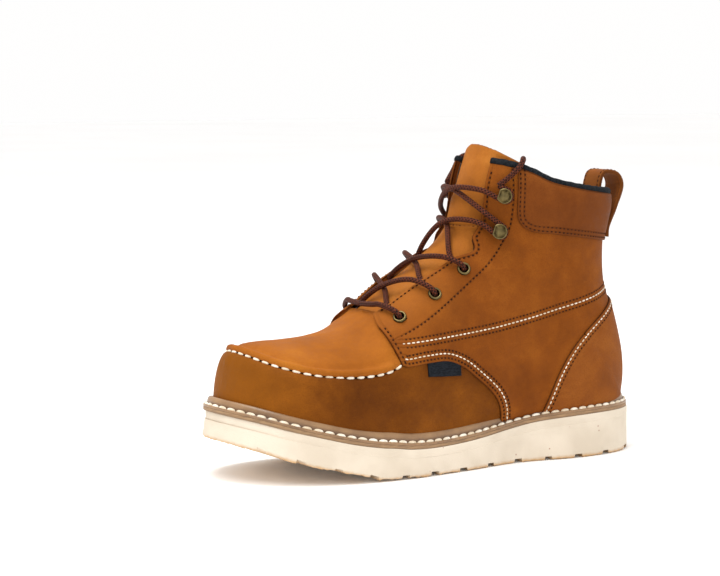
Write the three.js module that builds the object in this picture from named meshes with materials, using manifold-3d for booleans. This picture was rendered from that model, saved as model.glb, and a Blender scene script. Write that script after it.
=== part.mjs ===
// A left work boot with a moccasin toe, on a wedge sole with a storm welt.
// Millimetres. +X runs from the heel to the toe, +Y to the outer (lateral) side, +Z up.
// The origin lies on the floor, under the middle of the outsole.
import * as THREE from 'three';
import { mergeVertices } from 'three/addons/utils/BufferGeometryUtils.js';
import Module from 'manifold-3d';

const wasm = await Module();
wasm.setup();

// Driving sizes
const LENGTH = 305;            // outsole, back of the heel to the tip of the toe
const BALL_WIDTH = 111.5;      // outsole, at the ball
const HEEL_SOLE = 28.5;        // outsole, thickness at the heel
const TOE_SPRING = 25;         // rise of the outsole's lower edge at the toe
const TOE_FLARE = 2;           // how far the outsole's lower edge leads its upper edge at the toe
const BACK_HEIGHT = 145;       // upper, from its seat to the top of the collar at the back
const SHAFT_HEIGHT = 181;      // upper, from its seat to the last section of the front
const CLEAR = 0.3;             // gap between two pieces that touch

const MIDSOLE_THICK = 1.8;
const WELT_THICK = 1.6;
const WELT_REACH = 6.5;        // featherline, inwards from the outsole's edge
const WELT_EDGE = 0.8;         // welt and midsole stand this far inside the outsole's edge
const BEAD_HEIGHT = 7.2;       // storm bead, above the welt's seat
const BEAD_WIDTH = 3.2;
const INSOLE_THICK = 4;

const WALL = 2.4;              // vamp with its lining
const QUARTER_STEP = 1.6;      // leather of quarter and shaft, over the vamp
const OVERLAY = 1.5;           // leather of the counter
const CUFF_THICK = 2.6;        // leather and padding of the cuff
const PLUG_THICK = 1.4;        // leather of the apron
const RIM_HEIGHT = 3.2;        // rolled seam of the apron
const RIM_WIDTH = 4.2;
const BINDING_HEIGHT = 3.2;
const BINDING_THICK = 0.6;     // over the wall, on both faces
const TONGUE_THICK = 2.2;
const TONGUE_HALF_WIDTH = 33;
const TONGUE_TOP = 204;        // above the floor

const TREAD_PITCH = 23;        // one zigzag groove to the next
const TREAD_DEPTH = 2.6;
const TREAD_WIDTH = 5;
const TREAD_ZIG = 5;

const LACE_DIAMETER = 3.5;
const EYELET_HOLE = 5.2;
const EYELET_BARREL = 0.7;
const EYELET_FLANGE = 8.8;
const EYELET_RISE = 1.1;
const HOOK_CAP = 10;
const HOOK_HEIGHT = 7.6;
const HOOK_STEM = 4.2;
const HOOK_PLATE = 1;

const LOOP_WIDTH = 20;
const LOOP_THICK = 2.6;
const LOOP_RISE = 10;          // over the collar
const LOOP_SEWN = 33;          // below the collar
const TAG_LENGTH = 26;
const TAG_HEIGHT = 9;
const TAG_THICK = 0.9;

const FOOT_STATIONS = 15;      // steps from the toe to the back of the heel
const BACK_STATIONS = 6;       // steps from there up the back line
const AROUND = 20;             // faces round one section
const RIM_POINTS = 46;         // points round the sole
const LOWEST_NORMAL = -0.3;    // layers grow sideways, not downwards, where the form turns under
const DEEP = 200;              // a cutter's reach past what it cuts

// Derived levels
const MIDSOLE_LOW = CLEAR;
const MIDSOLE_HIGH = MIDSOLE_LOW + MIDSOLE_THICK;
const SEAT = MIDSOLE_HIGH + CLEAR;
const DATUM = HEEL_SOLE + SEAT;
const LACE_RADIUS = LACE_DIAMETER / 2;
const FASTENING_SEAT = QUARTER_STEP + 1.5 * CLEAR;
const TONGUE_FACE = -WALL - BINDING_THICK - CLEAR;
const LACE_ON_TONGUE = TONGUE_FACE + 2 * CLEAR + LACE_RADIUS;
const LACE_ON_FACING = QUARTER_STEP + 2 * CLEAR + LACE_RADIUS;
const LACE_ON_EYELET = FASTENING_SEAT + EYELET_RISE + 2 * CLEAR + LACE_RADIUS;
const LACE_ON_HOOK = FASTENING_SEAT + HOOK_PLATE + 2 * CLEAR + LACE_RADIUS;

// Outline of the sole, turn by turn: 0 is the tip of the toe and 1 the back of the heel.
// Both sides are shares of the ball width, measured from the middle line.
const OUTLINE = [
  { turn: 0.0, lateral: -0.074, medial: -0.074 },
  { turn: 0.1, lateral: 0.148, medial: -0.279 },
  { turn: 0.2, lateral: 0.348, medial: -0.429 },
  { turn: 0.3, lateral: 0.469, medial: -0.498 },
  { turn: 0.4, lateral: 0.497, medial: -0.473 },
  { turn: 0.5, lateral: 0.432, medial: -0.374 },
  { turn: 0.6, lateral: 0.34, medial: -0.314 },
  { turn: 0.7, lateral: 0.37, medial: -0.327 },
  { turn: 0.8, lateral: 0.326, medial: -0.308 },
  { turn: 0.9, lateral: 0.2, medial: -0.187 },
  { turn: 1.0, lateral: -0.002, medial: -0.002 },
];

// Side of the outsole: lift is a share of the toe spring, thick of the heel's thickness.
const SOLE_SIDE = [
  { along: -0.5, lift: 0, thick: 1 },
  { along: -0.42, lift: 0, thick: 1 },
  { along: -0.34, lift: 0, thick: 0.99 },
  { along: -0.27, lift: 0, thick: 0.961 },
  { along: -0.205, lift: 0, thick: 0.905 },
  { along: -0.14, lift: 0, thick: 0.807 },
  { along: -0.06, lift: 0, thick: 0.702 },
  { along: 0.02, lift: 0, thick: 0.639 },
  { along: 0.08, lift: 0, thick: 0.621 },
  { along: 0.14, lift: 0, thick: 0.646 },
  { along: 0.2, lift: 0, thick: 0.723 },
  { along: 0.27, lift: 0.2, thick: 0.674 },
  { along: 0.33, lift: 0.36, thick: 0.688 },
  { along: 0.39, lift: 0.56, thick: 0.681 },
  { along: 0.45, lift: 0.82, thick: 0.642 },
  { along: 0.5, lift: 1, thick: 0.614 },
];

// Sections of the upper, a fan from the toe to the collar. foot is the turn of the featherline where
// the section stands, rise the share of the back height once it stands on the back line. along is a
// share of the length and high of the shaft height, for the crest. middle, lateral and medial are
// shares of the ball width; widest is how far down the section is widest, and top and side are the
// roundness above and below that.
const SECTIONS = [
  { foot: 0, rise: 0, along: 0.4616, high: 0.2243, middle: -0.0735, lateral: 0, medial: 0, widest: 0.62, top: 2, side: 2.3 },
  { foot: 0.085, rise: 0, along: 0.4492, high: 0.2547, middle: -0.0771, lateral: 0.177, medial: 0.157, widest: 0.6, top: 2, side: 2.3 },
  { foot: 0.17, rise: 0, along: 0.423, high: 0.2768, middle: -0.0753, lateral: 0.341, medial: 0.281, widest: 0.6, top: 2, side: 2.3 },
  { foot: 0.245, rise: 0, along: 0.3803, high: 0.2856, middle: -0.0717, lateral: 0.449, medial: 0.3587, widest: 0.62, top: 2.1, side: 2.3 },
  { foot: 0.31, rise: 0, along: 0.3213, high: 0.2878, middle: -0.0664, lateral: 0.505, medial: 0.4081, widest: 0.66, top: 2.1, side: 2.3 },
  { foot: 0.37, rise: 0, along: 0.2557, high: 0.2967, middle: -0.0592, lateral: 0.518, medial: 0.426, widest: 0.68, top: 2.2, side: 2.3 },
  { foot: 0.43, rise: 0, along: 0.1967, high: 0.3243, middle: -0.0484, lateral: 0.5, medial: 0.4215, widest: 0.7, top: 2.4, side: 2.3 },
  { foot: 0.49, rise: 0, along: 0.1426, high: 0.3895, middle: -0.0359, lateral: 0.456, medial: 0.4036, widest: 0.71, top: 2.9, side: 2.2 },
  { foot: 0.555, rise: 0, along: 0.0852, high: 0.4657, middle: -0.0269, lateral: 0.409, medial: 0.3767, widest: 0.71, top: 3.2, side: 2.2 },
  { foot: 0.625, rise: 0, along: 0.0295, high: 0.5326, middle: -0.0179, lateral: 0.3767, medial: 0.3543, widest: 0.7, top: 3.2, side: 2.2 },
  { foot: 0.7, rise: 0, along: -0.0115, high: 0.5878, middle: -0.0108, lateral: 0.3587, medial: 0.3453, widest: 0.67, top: 3.1, side: 2.2 },
  { foot: 0.78, rise: 0, along: -0.0393, high: 0.6376, middle: -0.0054, lateral: 0.3498, medial: 0.3408, widest: 0.63, top: 2.8, side: 2.2 },
  { foot: 0.87, rise: 0, along: -0.0541, high: 0.6845, middle: -0.0027, lateral: 0.3408, medial: 0.3363, widest: 0.59, top: 2.5, side: 2.1 },
  { foot: 1, rise: 0, along: -0.0623, high: 0.7249, middle: -0.0018, lateral: 0.3336, medial: 0.3318, widest: 0.56, top: 2.3, side: 2 },
  { foot: 1, rise: 0.1, along: -0.0689, high: 0.7558, middle: 0, lateral: 0.33, medial: 0.33, widest: 0.54, top: 2.3, side: 2 },
  { foot: 1, rise: 0.25, along: -0.0754, high: 0.7840, middle: 0, lateral: 0.33, medial: 0.33, widest: 0.52, top: 2.3, side: 2 },
  { foot: 1, rise: 0.42, along: -0.082, high: 0.8116, middle: 0, lateral: 0.3336, medial: 0.3336, widest: 0.51, top: 2.3, side: 2 },
  { foot: 1, rise: 0.58, along: -0.0885, high: 0.842, middle: 0, lateral: 0.3426, medial: 0.3426, widest: 0.5, top: 2.3, side: 2 },
  { foot: 1, rise: 0.74, along: -0.0967, high: 0.8751, middle: 0, lateral: 0.3551, medial: 0.3551, widest: 0.5, top: 2.3, side: 2 },
  { foot: 1, rise: 0.9, along: -0.1049, high: 0.9083, middle: 0, lateral: 0.3641, medial: 0.3641, widest: 0.5, top: 2.3, side: 2 },
  { foot: 1, rise: 1.05, along: -0.113, high: 0.9448, middle: 0, lateral: 0.3659, medial: 0.3659, widest: 0.5, top: 2.3, side: 2 },
  { foot: 1, rise: 1.2, along: -0.123, high: 1, middle: 0, lateral: 0.3659, medial: 0.3659, widest: 0.5, top: 2.3, side: 2 },
];
const beadTop = DATUM + BEAD_HEIGHT + CLEAR;
const HEEL_SECTION = 13;       // the section that stands on the back of the featherline
const lastSection = SECTIONS.length - 1;

// Back line: rise is a share of the back height, along a share of the length.
const BACK_LINE = [
  { rise: 0, along: -0.4795 },
  { rise: 0.08, along: -0.4846 },
  { rise: 0.18, along: -0.483 },
  { rise: 0.3, along: -0.47 },
  { rise: 0.42, along: -0.452 },
  { rise: 0.55, along: -0.433 },
  { rise: 0.68, along: -0.427 },
  { rise: 0.8, along: -0.4295 },
  { rise: 0.9, along: -0.438 },
  { rise: 1, along: -0.446 },
  { rise: 1.2, along: -0.458 },
];

// Edges on the side of the upper: along and high as for the sections.
const COLLAR_EDGE = [
  { along: 0.05, high: 0.916 },
  { along: -0.118, high: 0.916 },
  { along: -0.15, high: 0.904 },
  { along: -0.187, high: 0.88 },
  { along: -0.226, high: 0.848 },
  { along: -0.29, high: 0.823 },
  { along: -0.37, high: 0.804 },
  { along: -0.446, high: 0.793 },
  { along: -0.56, high: 0.787 },
];
const QUARTER_EDGE = [
  { along: 0.166, high: 0.45 },
  { along: 0.162, high: 0.355 },
  { along: 0.156, high: 0.278 },
  { along: 0.144, high: 0.208 },
  { along: 0.085, high: 0.216 },
  { along: 0.033, high: 0.217 },
  { along: -0.008, high: 0.19 },
  { along: -0.04, high: 0.15 },
  { along: -0.066, high: 0.115 },
  { along: -0.09, high: 0.075 },
  { along: -0.105, high: 0.03 },
  { along: -0.12, high: -0.1 },
];
const COUNTER_EDGE = [
  { along: -0.205, high: -0.1 },
  { along: -0.222, high: 0.02 },
  { along: -0.246, high: 0.12 },
  { along: -0.28, high: 0.21 },
  { along: -0.32, high: 0.278 },
  { along: -0.37, high: 0.34 },
  { along: -0.42, high: 0.385 },
  { along: -0.5, high: 0.42 },
];
const CUFF_EDGE = [
  { along: -0.16, high: 1.2 },
  { along: -0.16, high: 0.72 },
  { along: -0.166, high: 0.68 },
  { along: -0.19, high: 0.655 },
  { along: -0.25, high: 0.642 },
  { along: -0.35, high: 0.618 },
  { along: -0.43, high: 0.6 },
  { along: -0.56, high: 0.585 },
];

// Half of the throat's gap by section, as a share of the ball width.
const THROAT = [
  { section: 6.4, half: 0.14 },
  { section: 7, half: 0.165 },
  { section: 8, half: 0.19 },
  { section: 9.2, half: 0.2 },
  { section: 10.2, half: 0.205 },
  { section: 11, half: 0.215 },
  { section: 12, half: 0.205 },
  { section: 13.5, half: 0.185 },
  { section: 16, half: 0.18 },
  { section: 21, half: 0.185 },
];

// Seam of the apron: reach is the share of the way down the section.
const APRON_SEAM = [
  { section: 1.3, reach: 0 },
  { section: 1.45, reach: 0.14 },
  { section: 1.75, reach: 0.28 },
  { section: 2.2, reach: 0.41 },
  { section: 2.9, reach: 0.51 },
  { section: 4.2, reach: 0.555 },
  { section: 5.4, reach: 0.57 },
  { section: 6.5, reach: 0.55 },
];
const TONGUE_LEAVES = { from: 10.5, to: 17 };
const APRON_BACK = 0.163;      // share of the length, its end under the quarters

// Fastenings on the facings, by section and share of the way down it.
const EYELETS = [
  { section: 7.2, reach: 0.285 },
  { section: 8.45, reach: 0.3 },
  { section: 9.9, reach: 0.325 },
];
const HOOKS = [
  { section: 13.8, reach: 0.245 },
  { section: 16.9, reach: 0.26 },
];

// Smooth curve through table values: a cubic with a slope at each row worked out from its neighbours.
function smooth(at, value, startSlope = null) {
  const n = at.length;
  const slope = new Array(n);
  for (let i = 1; i < n - 1; i++) {
    const before = at[i] - at[i - 1];
    const after = at[i + 1] - at[i];
    const rise = (value[i] - value[i - 1]) / before;
    const next = (value[i + 1] - value[i]) / after;
    slope[i] = (rise * after + next * before) / (before + after);
  }
  slope[0] = startSlope ?? (value[1] - value[0]) / (at[1] - at[0]);
  slope[n - 1] = (value[n - 1] - value[n - 2]) / (at[n - 1] - at[n - 2]);
  return (where) => {
    const x = Math.min(Math.max(where, at[0]), at[n - 1]);
    let i = 0;
    while (i < n - 2 && x > at[i + 1]) i++;
    const h = at[i + 1] - at[i];
    const t = (x - at[i]) / h;
    const t2 = t * t;
    const t3 = t2 * t;
    return (2 * t3 - 3 * t2 + 1) * value[i] + (t3 - 2 * t2 + t) * h * slope[i]
      + (3 * t2 - 2 * t3) * value[i + 1] + (t3 - t2) * h * slope[i + 1];
  };
}

const column = (table, key, size = 1) => table.map((row) => row[key] * size);

// The sole's outline
function outlineCurve() {
  const rows = OUTLINE.length;
  const turns = [];
  const sides = [];
  for (let i = rows - 1; i > 0; i--) {
    turns.push(-OUTLINE[i].turn);
    sides.push(OUTLINE[i].medial * BALL_WIDTH);
  }
  for (let i = 0; i < rows; i++) {
    turns.push(OUTLINE[i].turn);
    sides.push(OUTLINE[i].lateral * BALL_WIDTH);
  }
  const wrap = 3;
  const head = turns.slice(-wrap - 1, -1).map((t) => t - 2);
  const tail = turns.slice(1, wrap + 1).map((t) => t + 2);
  const headSides = sides.slice(-wrap - 1, -1);
  const tailSides = sides.slice(1, wrap + 1);
  return smooth([...head, ...turns, ...tail], [...headSides, ...sides, ...tailSides]);
}

const sideAt = outlineCurve();

// turn runs from -1 (back of the heel) through the medial side, 0 (toe) and the lateral side to 1
function outline(turn) {
  return new THREE.Vector2((LENGTH / 2) * Math.cos(Math.PI * turn), sideAt(turn));
}

function inset(turn, distance) {
  const step = 0.001;
  const before = turn - step < -1 ? turn - step + 2 : turn - step;
  const after = turn + step > 1 ? turn + step - 2 : turn + step;
  const way = outline(after).sub(outline(before)).normalize();
  const inward = new THREE.Vector2(-way.y, way.x);
  return outline(turn).addScaledVector(inward, distance);
}

const soleAlong = column(SOLE_SIDE, 'along', LENGTH);
const springAt = smooth(soleAlong, column(SOLE_SIDE, 'lift', TOE_SPRING));
const liftAt = (x) => Math.max(springAt(x), 0);
const thickAt = smooth(soleAlong, column(SOLE_SIDE, 'thick', HEEL_SOLE));
const soleTop = (x) => liftAt(x) + thickAt(x);
const seatAt = (x) => soleTop(x) + SEAT;

// The upper's surface
const rows = SECTIONS.map((row, i) => i);
const footAt = smooth(rows.slice(0, HEEL_SECTION + 1), column(SECTIONS.slice(0, HEEL_SECTION + 1), 'foot'));
const riseAt = smooth(rows.slice(HEEL_SECTION), column(SECTIONS.slice(HEEL_SECTION), 'rise'), 0);
const crestAlong = smooth(rows, column(SECTIONS, 'along', LENGTH), 0);
const crestHigh = smooth(rows, column(SECTIONS, 'high', SHAFT_HEIGHT), 0);
const middleAt = smooth(rows, column(SECTIONS, 'middle', BALL_WIDTH), 0);
const lateralAt = smooth(rows, column(SECTIONS, 'lateral', BALL_WIDTH));
const medialAt = smooth(rows, column(SECTIONS, 'medial', BALL_WIDTH));
const widestAt = smooth(rows, column(SECTIONS, 'widest'), 0);
const topAt = smooth(rows, column(SECTIONS, 'top'), 0);
const sideRoundAt = smooth(rows, column(SECTIONS, 'side'), 0);
const backAt = smooth(column(BACK_LINE, 'rise'), column(BACK_LINE, 'along', LENGTH));

// Where a section stands: on the featherline, and past the heel on the back line
function footPoint(section, lateral) {
  if (section < HEEL_SECTION) {
    const turn = Math.min(footAt(section), 1);
    const p = inset(lateral ? turn : -turn, WELT_REACH);
    return new THREE.Vector3(p.x, p.y, seatAt(p.x));
  }
  const rise = riseAt(section);
  return new THREE.Vector3(backAt(rise), middleAt(section), DATUM + rise * BACK_HEIGHT);
}

// A point of the surface: reach is 0 on the crest, 1 on the lateral and -1 on the medial foot
function surface(section, reach) {
  const lateral = reach >= 0;
  const foot = footPoint(section, lateral);
  const crest = new THREE.Vector3(crestAlong(section), middleAt(section), DATUM + crestHigh(section));
  const spread = Math.abs(foot.y - crest.y);
  const half = section > 0 ? Math.max(lateral ? lateralAt(section) : medialAt(section), spread) : 0;
  const top = topAt(section);
  const side = sideRoundAt(section);
  const widest = widestAt(section);
  const share = half > 0 ? Math.min(spread / half, 1) : 0;
  const end = Math.PI - Math.asin(share ** (side / 2));
  const angle = Math.abs(reach) * end;
  const upper = angle <= Math.PI / 2;
  const round = upper ? top : side;
  const out = half * Math.abs(Math.sin(angle)) ** (2 / round);
  const bend = Math.abs(Math.cos(angle)) ** (2 / round);
  const low = Math.max(Math.abs(Math.cos(end)) ** (2 / side), 1e-6);
  const down = upper ? widest * (1 - bend) : widest + (1 - widest) * (bend / low);
  return new THREE.Vector3(
    crest.x + (foot.x - crest.x) * down,
    crest.y + (lateral ? out : -out),
    crest.z + (foot.z - crest.z) * down,
  );
}

function surfaceNormal(section, reach) {
  const step = 0.02;
  const a = surface(section + step, reach).sub(surface(section - step, reach));
  const b = surface(section, reach + step).sub(surface(section, reach - step));
  return b.cross(a).normalize();
}

function above(section, reach, height) {
  return surface(section, reach).addScaledVector(surfaceNormal(section, reach), height);
}

// How far down a section its surface stands a given distance from the middle line
function reachFor(section, side, distance) {
  let [near, far] = [0, 0.5];
  for (let i = 0; i < 20; i++) {
    const reach = (near + far) / 2;
    if (Math.abs(surface(section, side * reach).y - middleAt(section)) < distance) near = reach;
    else far = reach;
  }
  return side * near;
}

// Solids
function solidFrom(points, triangles) {
  const geometry = new THREE.BufferGeometry();
  const flat = new Float32Array(points.length * 3);
  points.forEach((p, i) => p.toArray(flat, i * 3));
  geometry.setAttribute('position', new THREE.BufferAttribute(flat, 3));
  geometry.setIndex(triangles.flat());
  return solidOf(geometry);
}

function solidOf(geometry) {
  geometry.deleteAttribute('normal');
  geometry.deleteAttribute('uv');
  const merged = mergeVertices(geometry, 1e-4);
  const index = Array.from(merged.index.array);
  const at = merged.attributes.position;
  const kept = [];
  let volume = 0;
  const [a, b, c] = [new THREE.Vector3(), new THREE.Vector3(), new THREE.Vector3()];
  for (let i = 0; i < index.length; i += 3) {
    const [p, q, r] = index.slice(i, i + 3);
    if (p === q || q === r || p === r) continue;
    kept.push(p, q, r);
    a.fromBufferAttribute(at, p);
    b.fromBufferAttribute(at, q);
    c.fromBufferAttribute(at, r);
    volume += a.dot(b.cross(c));
  }
  if (volume < 0) kept.reverse();
  return new wasm.Manifold(new wasm.Mesh({
    numProp: 3,
    vertProperties: new Float32Array(at.array),
    triVerts: new Uint32Array(kept),
  }));
}

function geometryOf(solid) {
  const mesh = solid.getMesh();
  const geometry = new THREE.BufferGeometry();
  geometry.setAttribute('position', new THREE.BufferAttribute(new Float32Array(mesh.vertProperties), 3));
  geometry.setIndex(new THREE.BufferAttribute(new Uint32Array(mesh.triVerts), 1));
  geometry.computeVertexNormals();
  return geometry;
}

// Rings of equal length joined by walls; the first and last are closed by rungs across them
function loft(rings) {
  const n = rings[0].length;
  const triangles = [];
  for (let r = 0; r < rings.length - 1; r++) {
    for (let k = 0; k < n; k++) {
      const next = (k + 1) % n;
      const [a, b] = [r * n + k, r * n + next];
      const [c, d] = [a + n, b + n];
      triangles.push([a, b, d], [a, d, c]);
    }
  }
  const last = (rings.length - 1) * n;
  for (let k = 0; k < n / 2; k++) {
    const [a, b] = [k, k + 1];
    const [c, d] = [(n - k) % n, n - k - 1];
    triangles.push([a, c, d], [a, d, b]);
    triangles.push([last + a, last + d, last + c], [last + a, last + b, last + d]);
  }
  return solidFrom(rings.flat(), triangles);
}

function flatLoop(distanceAt, heightAt) {
  const ring = [];
  for (let k = 0; k < RIM_POINTS; k++) {
    const turn = -1 + (2 * k) / RIM_POINTS;
    const p = inset(turn, distanceAt(outline(turn).x));
    ring.push(new THREE.Vector3(p.x, p.y, heightAt(p.x)));
  }
  return ring;
}

// Stations lie closer together at the toe and at the heel, where the featherline turns
function stationAt(i) {
  if (i > FOOT_STATIONS) return HEEL_SECTION + ((lastSection - HEEL_SECTION) * (i - FOOT_STATIONS)) / BACK_STATIONS;
  const share = i / FOOT_STATIONS;
  const eased = 0.5 - 0.5 * Math.cos(Math.PI * share);
  return HEEL_SECTION * THREE.MathUtils.lerp(share, eased, 0.6);
}

// The upper's surface as a closed solid, grown by a height; a skirt carries its open bottom down
function sock(height, skirt = SEAT / 2) {
  const across = AROUND + 1;
  const steps = FOOT_STATIONS + BACK_STATIONS;
  const points = [];
  const triangles = [];
  for (let i = 0; i <= steps; i++) {
    const section = stationAt(i);
    for (let j = 0; j < across; j++) points.push(surface(section, -1 + (2 * j) / AROUND));
  }
  for (let i = 0; i < steps; i++) {
    for (let j = 0; j < AROUND; j++) {
      const a = i * across + j;
      const b = a + across;
      if (j < AROUND / 2) triangles.push([a, b, b + 1], [a, b + 1, a + 1]);
      else triangles.push([a, b, a + 1], [a + 1, b, b + 1]);
    }
  }
  const heightAt = typeof height === 'function' ? height : () => height;
  const grown = grow(points, triangles, (i) => heightAt(stationAt(Math.floor(i / across))));
  for (let i = 0; i <= FOOT_STATIONS; i++) {
    for (const j of [0, AROUND]) grown[i * across + j].z = points[i * across + j].z;
  }
  for (let i = 0; i < FOOT_STATIONS; i++) {
    const [a, b] = [i * across, (i + 1) * across];
    const low = [a, a + AROUND, b, b + AROUND].map((from) => {
      grown.push(grown[from].clone().setZ(grown[from].z - skirt));
      return grown.length - 1;
    });
    triangles.push([b, a, low[0]], [b, low[0], low[2]]);
    triangles.push([a + AROUND, b + AROUND, low[3]], [a + AROUND, low[3], low[1]]);
    triangles.push([low[0], low[1], low[3]], [low[0], low[3], low[2]]);
  }
  const last = steps * across;
  for (let j = 0; j < AROUND / 2; j++) {
    const [a, b] = [last + j, last + j + 1];
    const [c, d] = [last + AROUND - j, last + AROUND - j - 1];
    triangles.push([a, c, d], [a, d, b]);
  }
  return solidFrom(grown, triangles);
}

// Moves points along the mean normal of the faces that meet at their place
function grow(points, triangles, heightOf) {
  const key = (p) => p.toArray().map((v) => Math.round(v * 1000)).join(',');
  const keys = points.map(key);
  const normals = new Map(keys.map((k) => [k, new THREE.Vector3()]));
  for (const [i, j, k] of triangles) {
    const a = points[j].clone().sub(points[i]);
    const normal = a.cross(points[k].clone().sub(points[i]));
    for (const corner of new Set([keys[i], keys[j], keys[k]])) normals.get(corner).add(normal);
  }
  const widest = points.reduce((far, p, i) => (p.y > points[far].y ? i : far), 0);
  const outward = Math.sign(normals.get(keys[widest]).y);
  return points.map((p, i) => {
    const normal = normals.get(keys[i]).clone().normalize().multiplyScalar(outward);
    normal.z = Math.max(normal.z, LOWEST_NORMAL);
    return p.clone().addScaledVector(normal.normalize(), heightOf(i));
  });
}

// A prism over a shape drawn from the side
function sidePrism(corners, from = -DEEP, to = DEEP) {
  const shape = new THREE.Shape(corners.map(([x, z]) => new THREE.Vector2(x, z)));
  const geometry = new THREE.ExtrudeGeometry(shape, { depth: to - from, bevelEnabled: false });
  geometry.rotateX(Math.PI / 2);
  geometry.translate(0, to, 0);
  return solidOf(geometry);
}

// A prism over a shape drawn from above
function planPrism(corners, low, high) {
  const shape = new THREE.Shape(corners.map((p) => new THREE.Vector2(p.x, p.y)));
  const geometry = new THREE.ExtrudeGeometry(shape, { depth: high - low, bevelEnabled: false });
  geometry.translate(0, 0, low);
  return solidOf(geometry);
}

// A table's edge on the side of the upper, drawn through its rows
function edgeLine(table, shift = 0, steps = 2) {
  const curve = new THREE.CatmullRomCurve3(
    table.map((row) => new THREE.Vector3(row.along * LENGTH, row.high * SHAFT_HEIGHT + DATUM + shift, 0)),
    false,
    'centripetal',
  );
  return curve.getPoints((table.length - 1) * steps).map((p) => [p.x, p.y]);
}

function tube(points, diameter, steps) {
  const radius = diameter / 2;
  const sides = 8;
  const ring = [];
  for (let k = 0; k < sides; k++) {
    const angle = (2 * Math.PI * k) / sides;
    ring.push(new THREE.Vector2(radius * Math.cos(angle), radius * Math.sin(angle)));
  }
  const path = new THREE.CatmullRomCurve3(points, false, 'centripetal');
  return new THREE.ExtrudeGeometry(new THREE.Shape(ring), { steps, extrudePath: path, bevelEnabled: false });
}

function material(colour, roughness, metalness = 0) {
  return new THREE.MeshStandardMaterial({ color: colour, roughness, metalness });
}

const LEATHER = material('#9a5a26', 0.62);
const TONGUE_LEATHER = material('#b06f2c', 0.6);
const CREAM_RUBBER = material('#f5e6cb', 0.7);
const WELT_LEATHER = material('#a67b4d', 0.45);
const MIDSOLE_LEATHER = material('#af8760', 0.7);
const INSOLE_BOARD = material('#2a2725', 0.9);
const BINDING_TAPE = material('#1c1b1c', 0.85);
const WOVEN_TAG = material('#16181a', 0.9);
const BRASS = material('#6e5a36', 0.4, 0.9);
const LACE_CORD = material('#5a3223', 0.75);

const boot = new THREE.Group();
boot.name = 'work_boot';

function addMesh(name, geometry, finish) {
  const mesh = new THREE.Mesh(geometry, finish);
  mesh.name = name;
  boot.add(mesh);
  return mesh;
}

const addSolid = (name, solid, finish) => addMesh(name, geometryOf(solid), finish);

// Outsole: the wedge, its lower edge a little ahead of its upper edge at the toe, and the tread
function outsole() {
  const flareStart = 0.3 * LENGTH;
  const flareAt = (x) => TOE_FLARE * THREE.MathUtils.smoothstep(x, flareStart, LENGTH / 2);
  const chamfer = 1;
  const rings = [
    flatLoop(() => chamfer, liftAt),
    flatLoop(() => 0, (x) => liftAt(x) + chamfer),
    flatLoop((x) => flareAt(x) / 2, (x) => liftAt(x) + thickAt(x) / 2),
    flatLoop(flareAt, (x) => soleTop(x) - chamfer / 2),
    flatLoop((x) => flareAt(x) + chamfer / 2, soleTop),
  ];
  let solid = loft(rings);
  const first = -LENGTH / 2 + TREAD_PITCH * 0.6;
  for (let x = first; x < LENGTH / 2 - TREAD_PITCH / 3; x += TREAD_PITCH) solid = solid.subtract(treadGroove(x));
  return solid;
}

// One groove, a zigzag strip across the sole that follows the slope of its underside
function treadGroove(x) {
  const zigs = 4;
  const reach = BALL_WIDTH * 0.6;
  const front = [];
  const back = [];
  for (let k = 0; k <= zigs; k++) {
    const y = -reach + (2 * reach * k) / zigs;
    const zig = (k % 2 ? 1 : -1) * (TREAD_ZIG / 2);
    front.push(new THREE.Vector2(zig + TREAD_WIDTH / 2, y));
    back.unshift(new THREE.Vector2(zig - TREAD_WIDTH / 2, y));
  }
  const shape = new THREE.Shape([...front, ...back]);
  const geometry = new THREE.ExtrudeGeometry(shape, { depth: TREAD_DEPTH * 3, bevelEnabled: false });
  geometry.translate(0, 0, -TREAD_DEPTH * 2);
  const slope = Math.atan2(liftAt(x + TREAD_WIDTH) - liftAt(x - TREAD_WIDTH), 2 * TREAD_WIDTH);
  geometry.rotateY(-slope);
  geometry.translate(x, 0, liftAt(x));
  return solidOf(geometry);
}

function midsole() {
  return loft([
    flatLoop(() => WELT_EDGE, (x) => soleTop(x) + MIDSOLE_LOW),
    flatLoop(() => WELT_EDGE, (x) => soleTop(x) + MIDSOLE_HIGH),
  ]);
}

// Welt: a band on the midsole's edge with the storm bead against the upper, swept round the sole
function welt(upperForm) {
  const bead = WELT_REACH - BEAD_WIDTH;
  const inner = WELT_REACH + WALL;
  const profile = [
    { inward: WELT_EDGE, up: 0 },
    { inward: WELT_EDGE, up: WELT_THICK },
    { inward: bead - 0.4, up: WELT_THICK },
    { inward: bead - 0.2, up: BEAD_HEIGHT * 0.62 },
    { inward: bead + BEAD_WIDTH * 0.3, up: BEAD_HEIGHT * 0.93 },
    { inward: WELT_REACH, up: BEAD_HEIGHT },
    { inward: inner, up: BEAD_HEIGHT * 0.8 },
    { inward: inner, up: 0 },
  ];
  const points = [];
  const triangles = [];
  const n = profile.length;
  for (let k = 0; k < RIM_POINTS; k++) {
    const turn = -1 + (2 * k) / RIM_POINTS;
    for (const { inward, up } of profile) {
      const p = inset(turn, inward);
      points.push(new THREE.Vector3(p.x, p.y, soleTop(p.x) + SEAT + up));
    }
    for (let i = 0; i < n; i++) {
      const [a, b] = [k * n + i, k * n + ((i + 1) % n)];
      const [c, d] = [((k + 1) % RIM_POINTS) * n + i, ((k + 1) % RIM_POINTS) * n + ((i + 1) % n)];
      triangles.push([a, b, d], [a, d, c]);
    }
  }
  return solidFrom(points, triangles).subtract(upperForm);
}

// All that lies under the upper's seat
function seatBlock() {
  return loft([flatLoop(() => WELT_EDGE, () => -SEAT), flatLoop(() => WELT_EDGE, seatAt)]);
}

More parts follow.
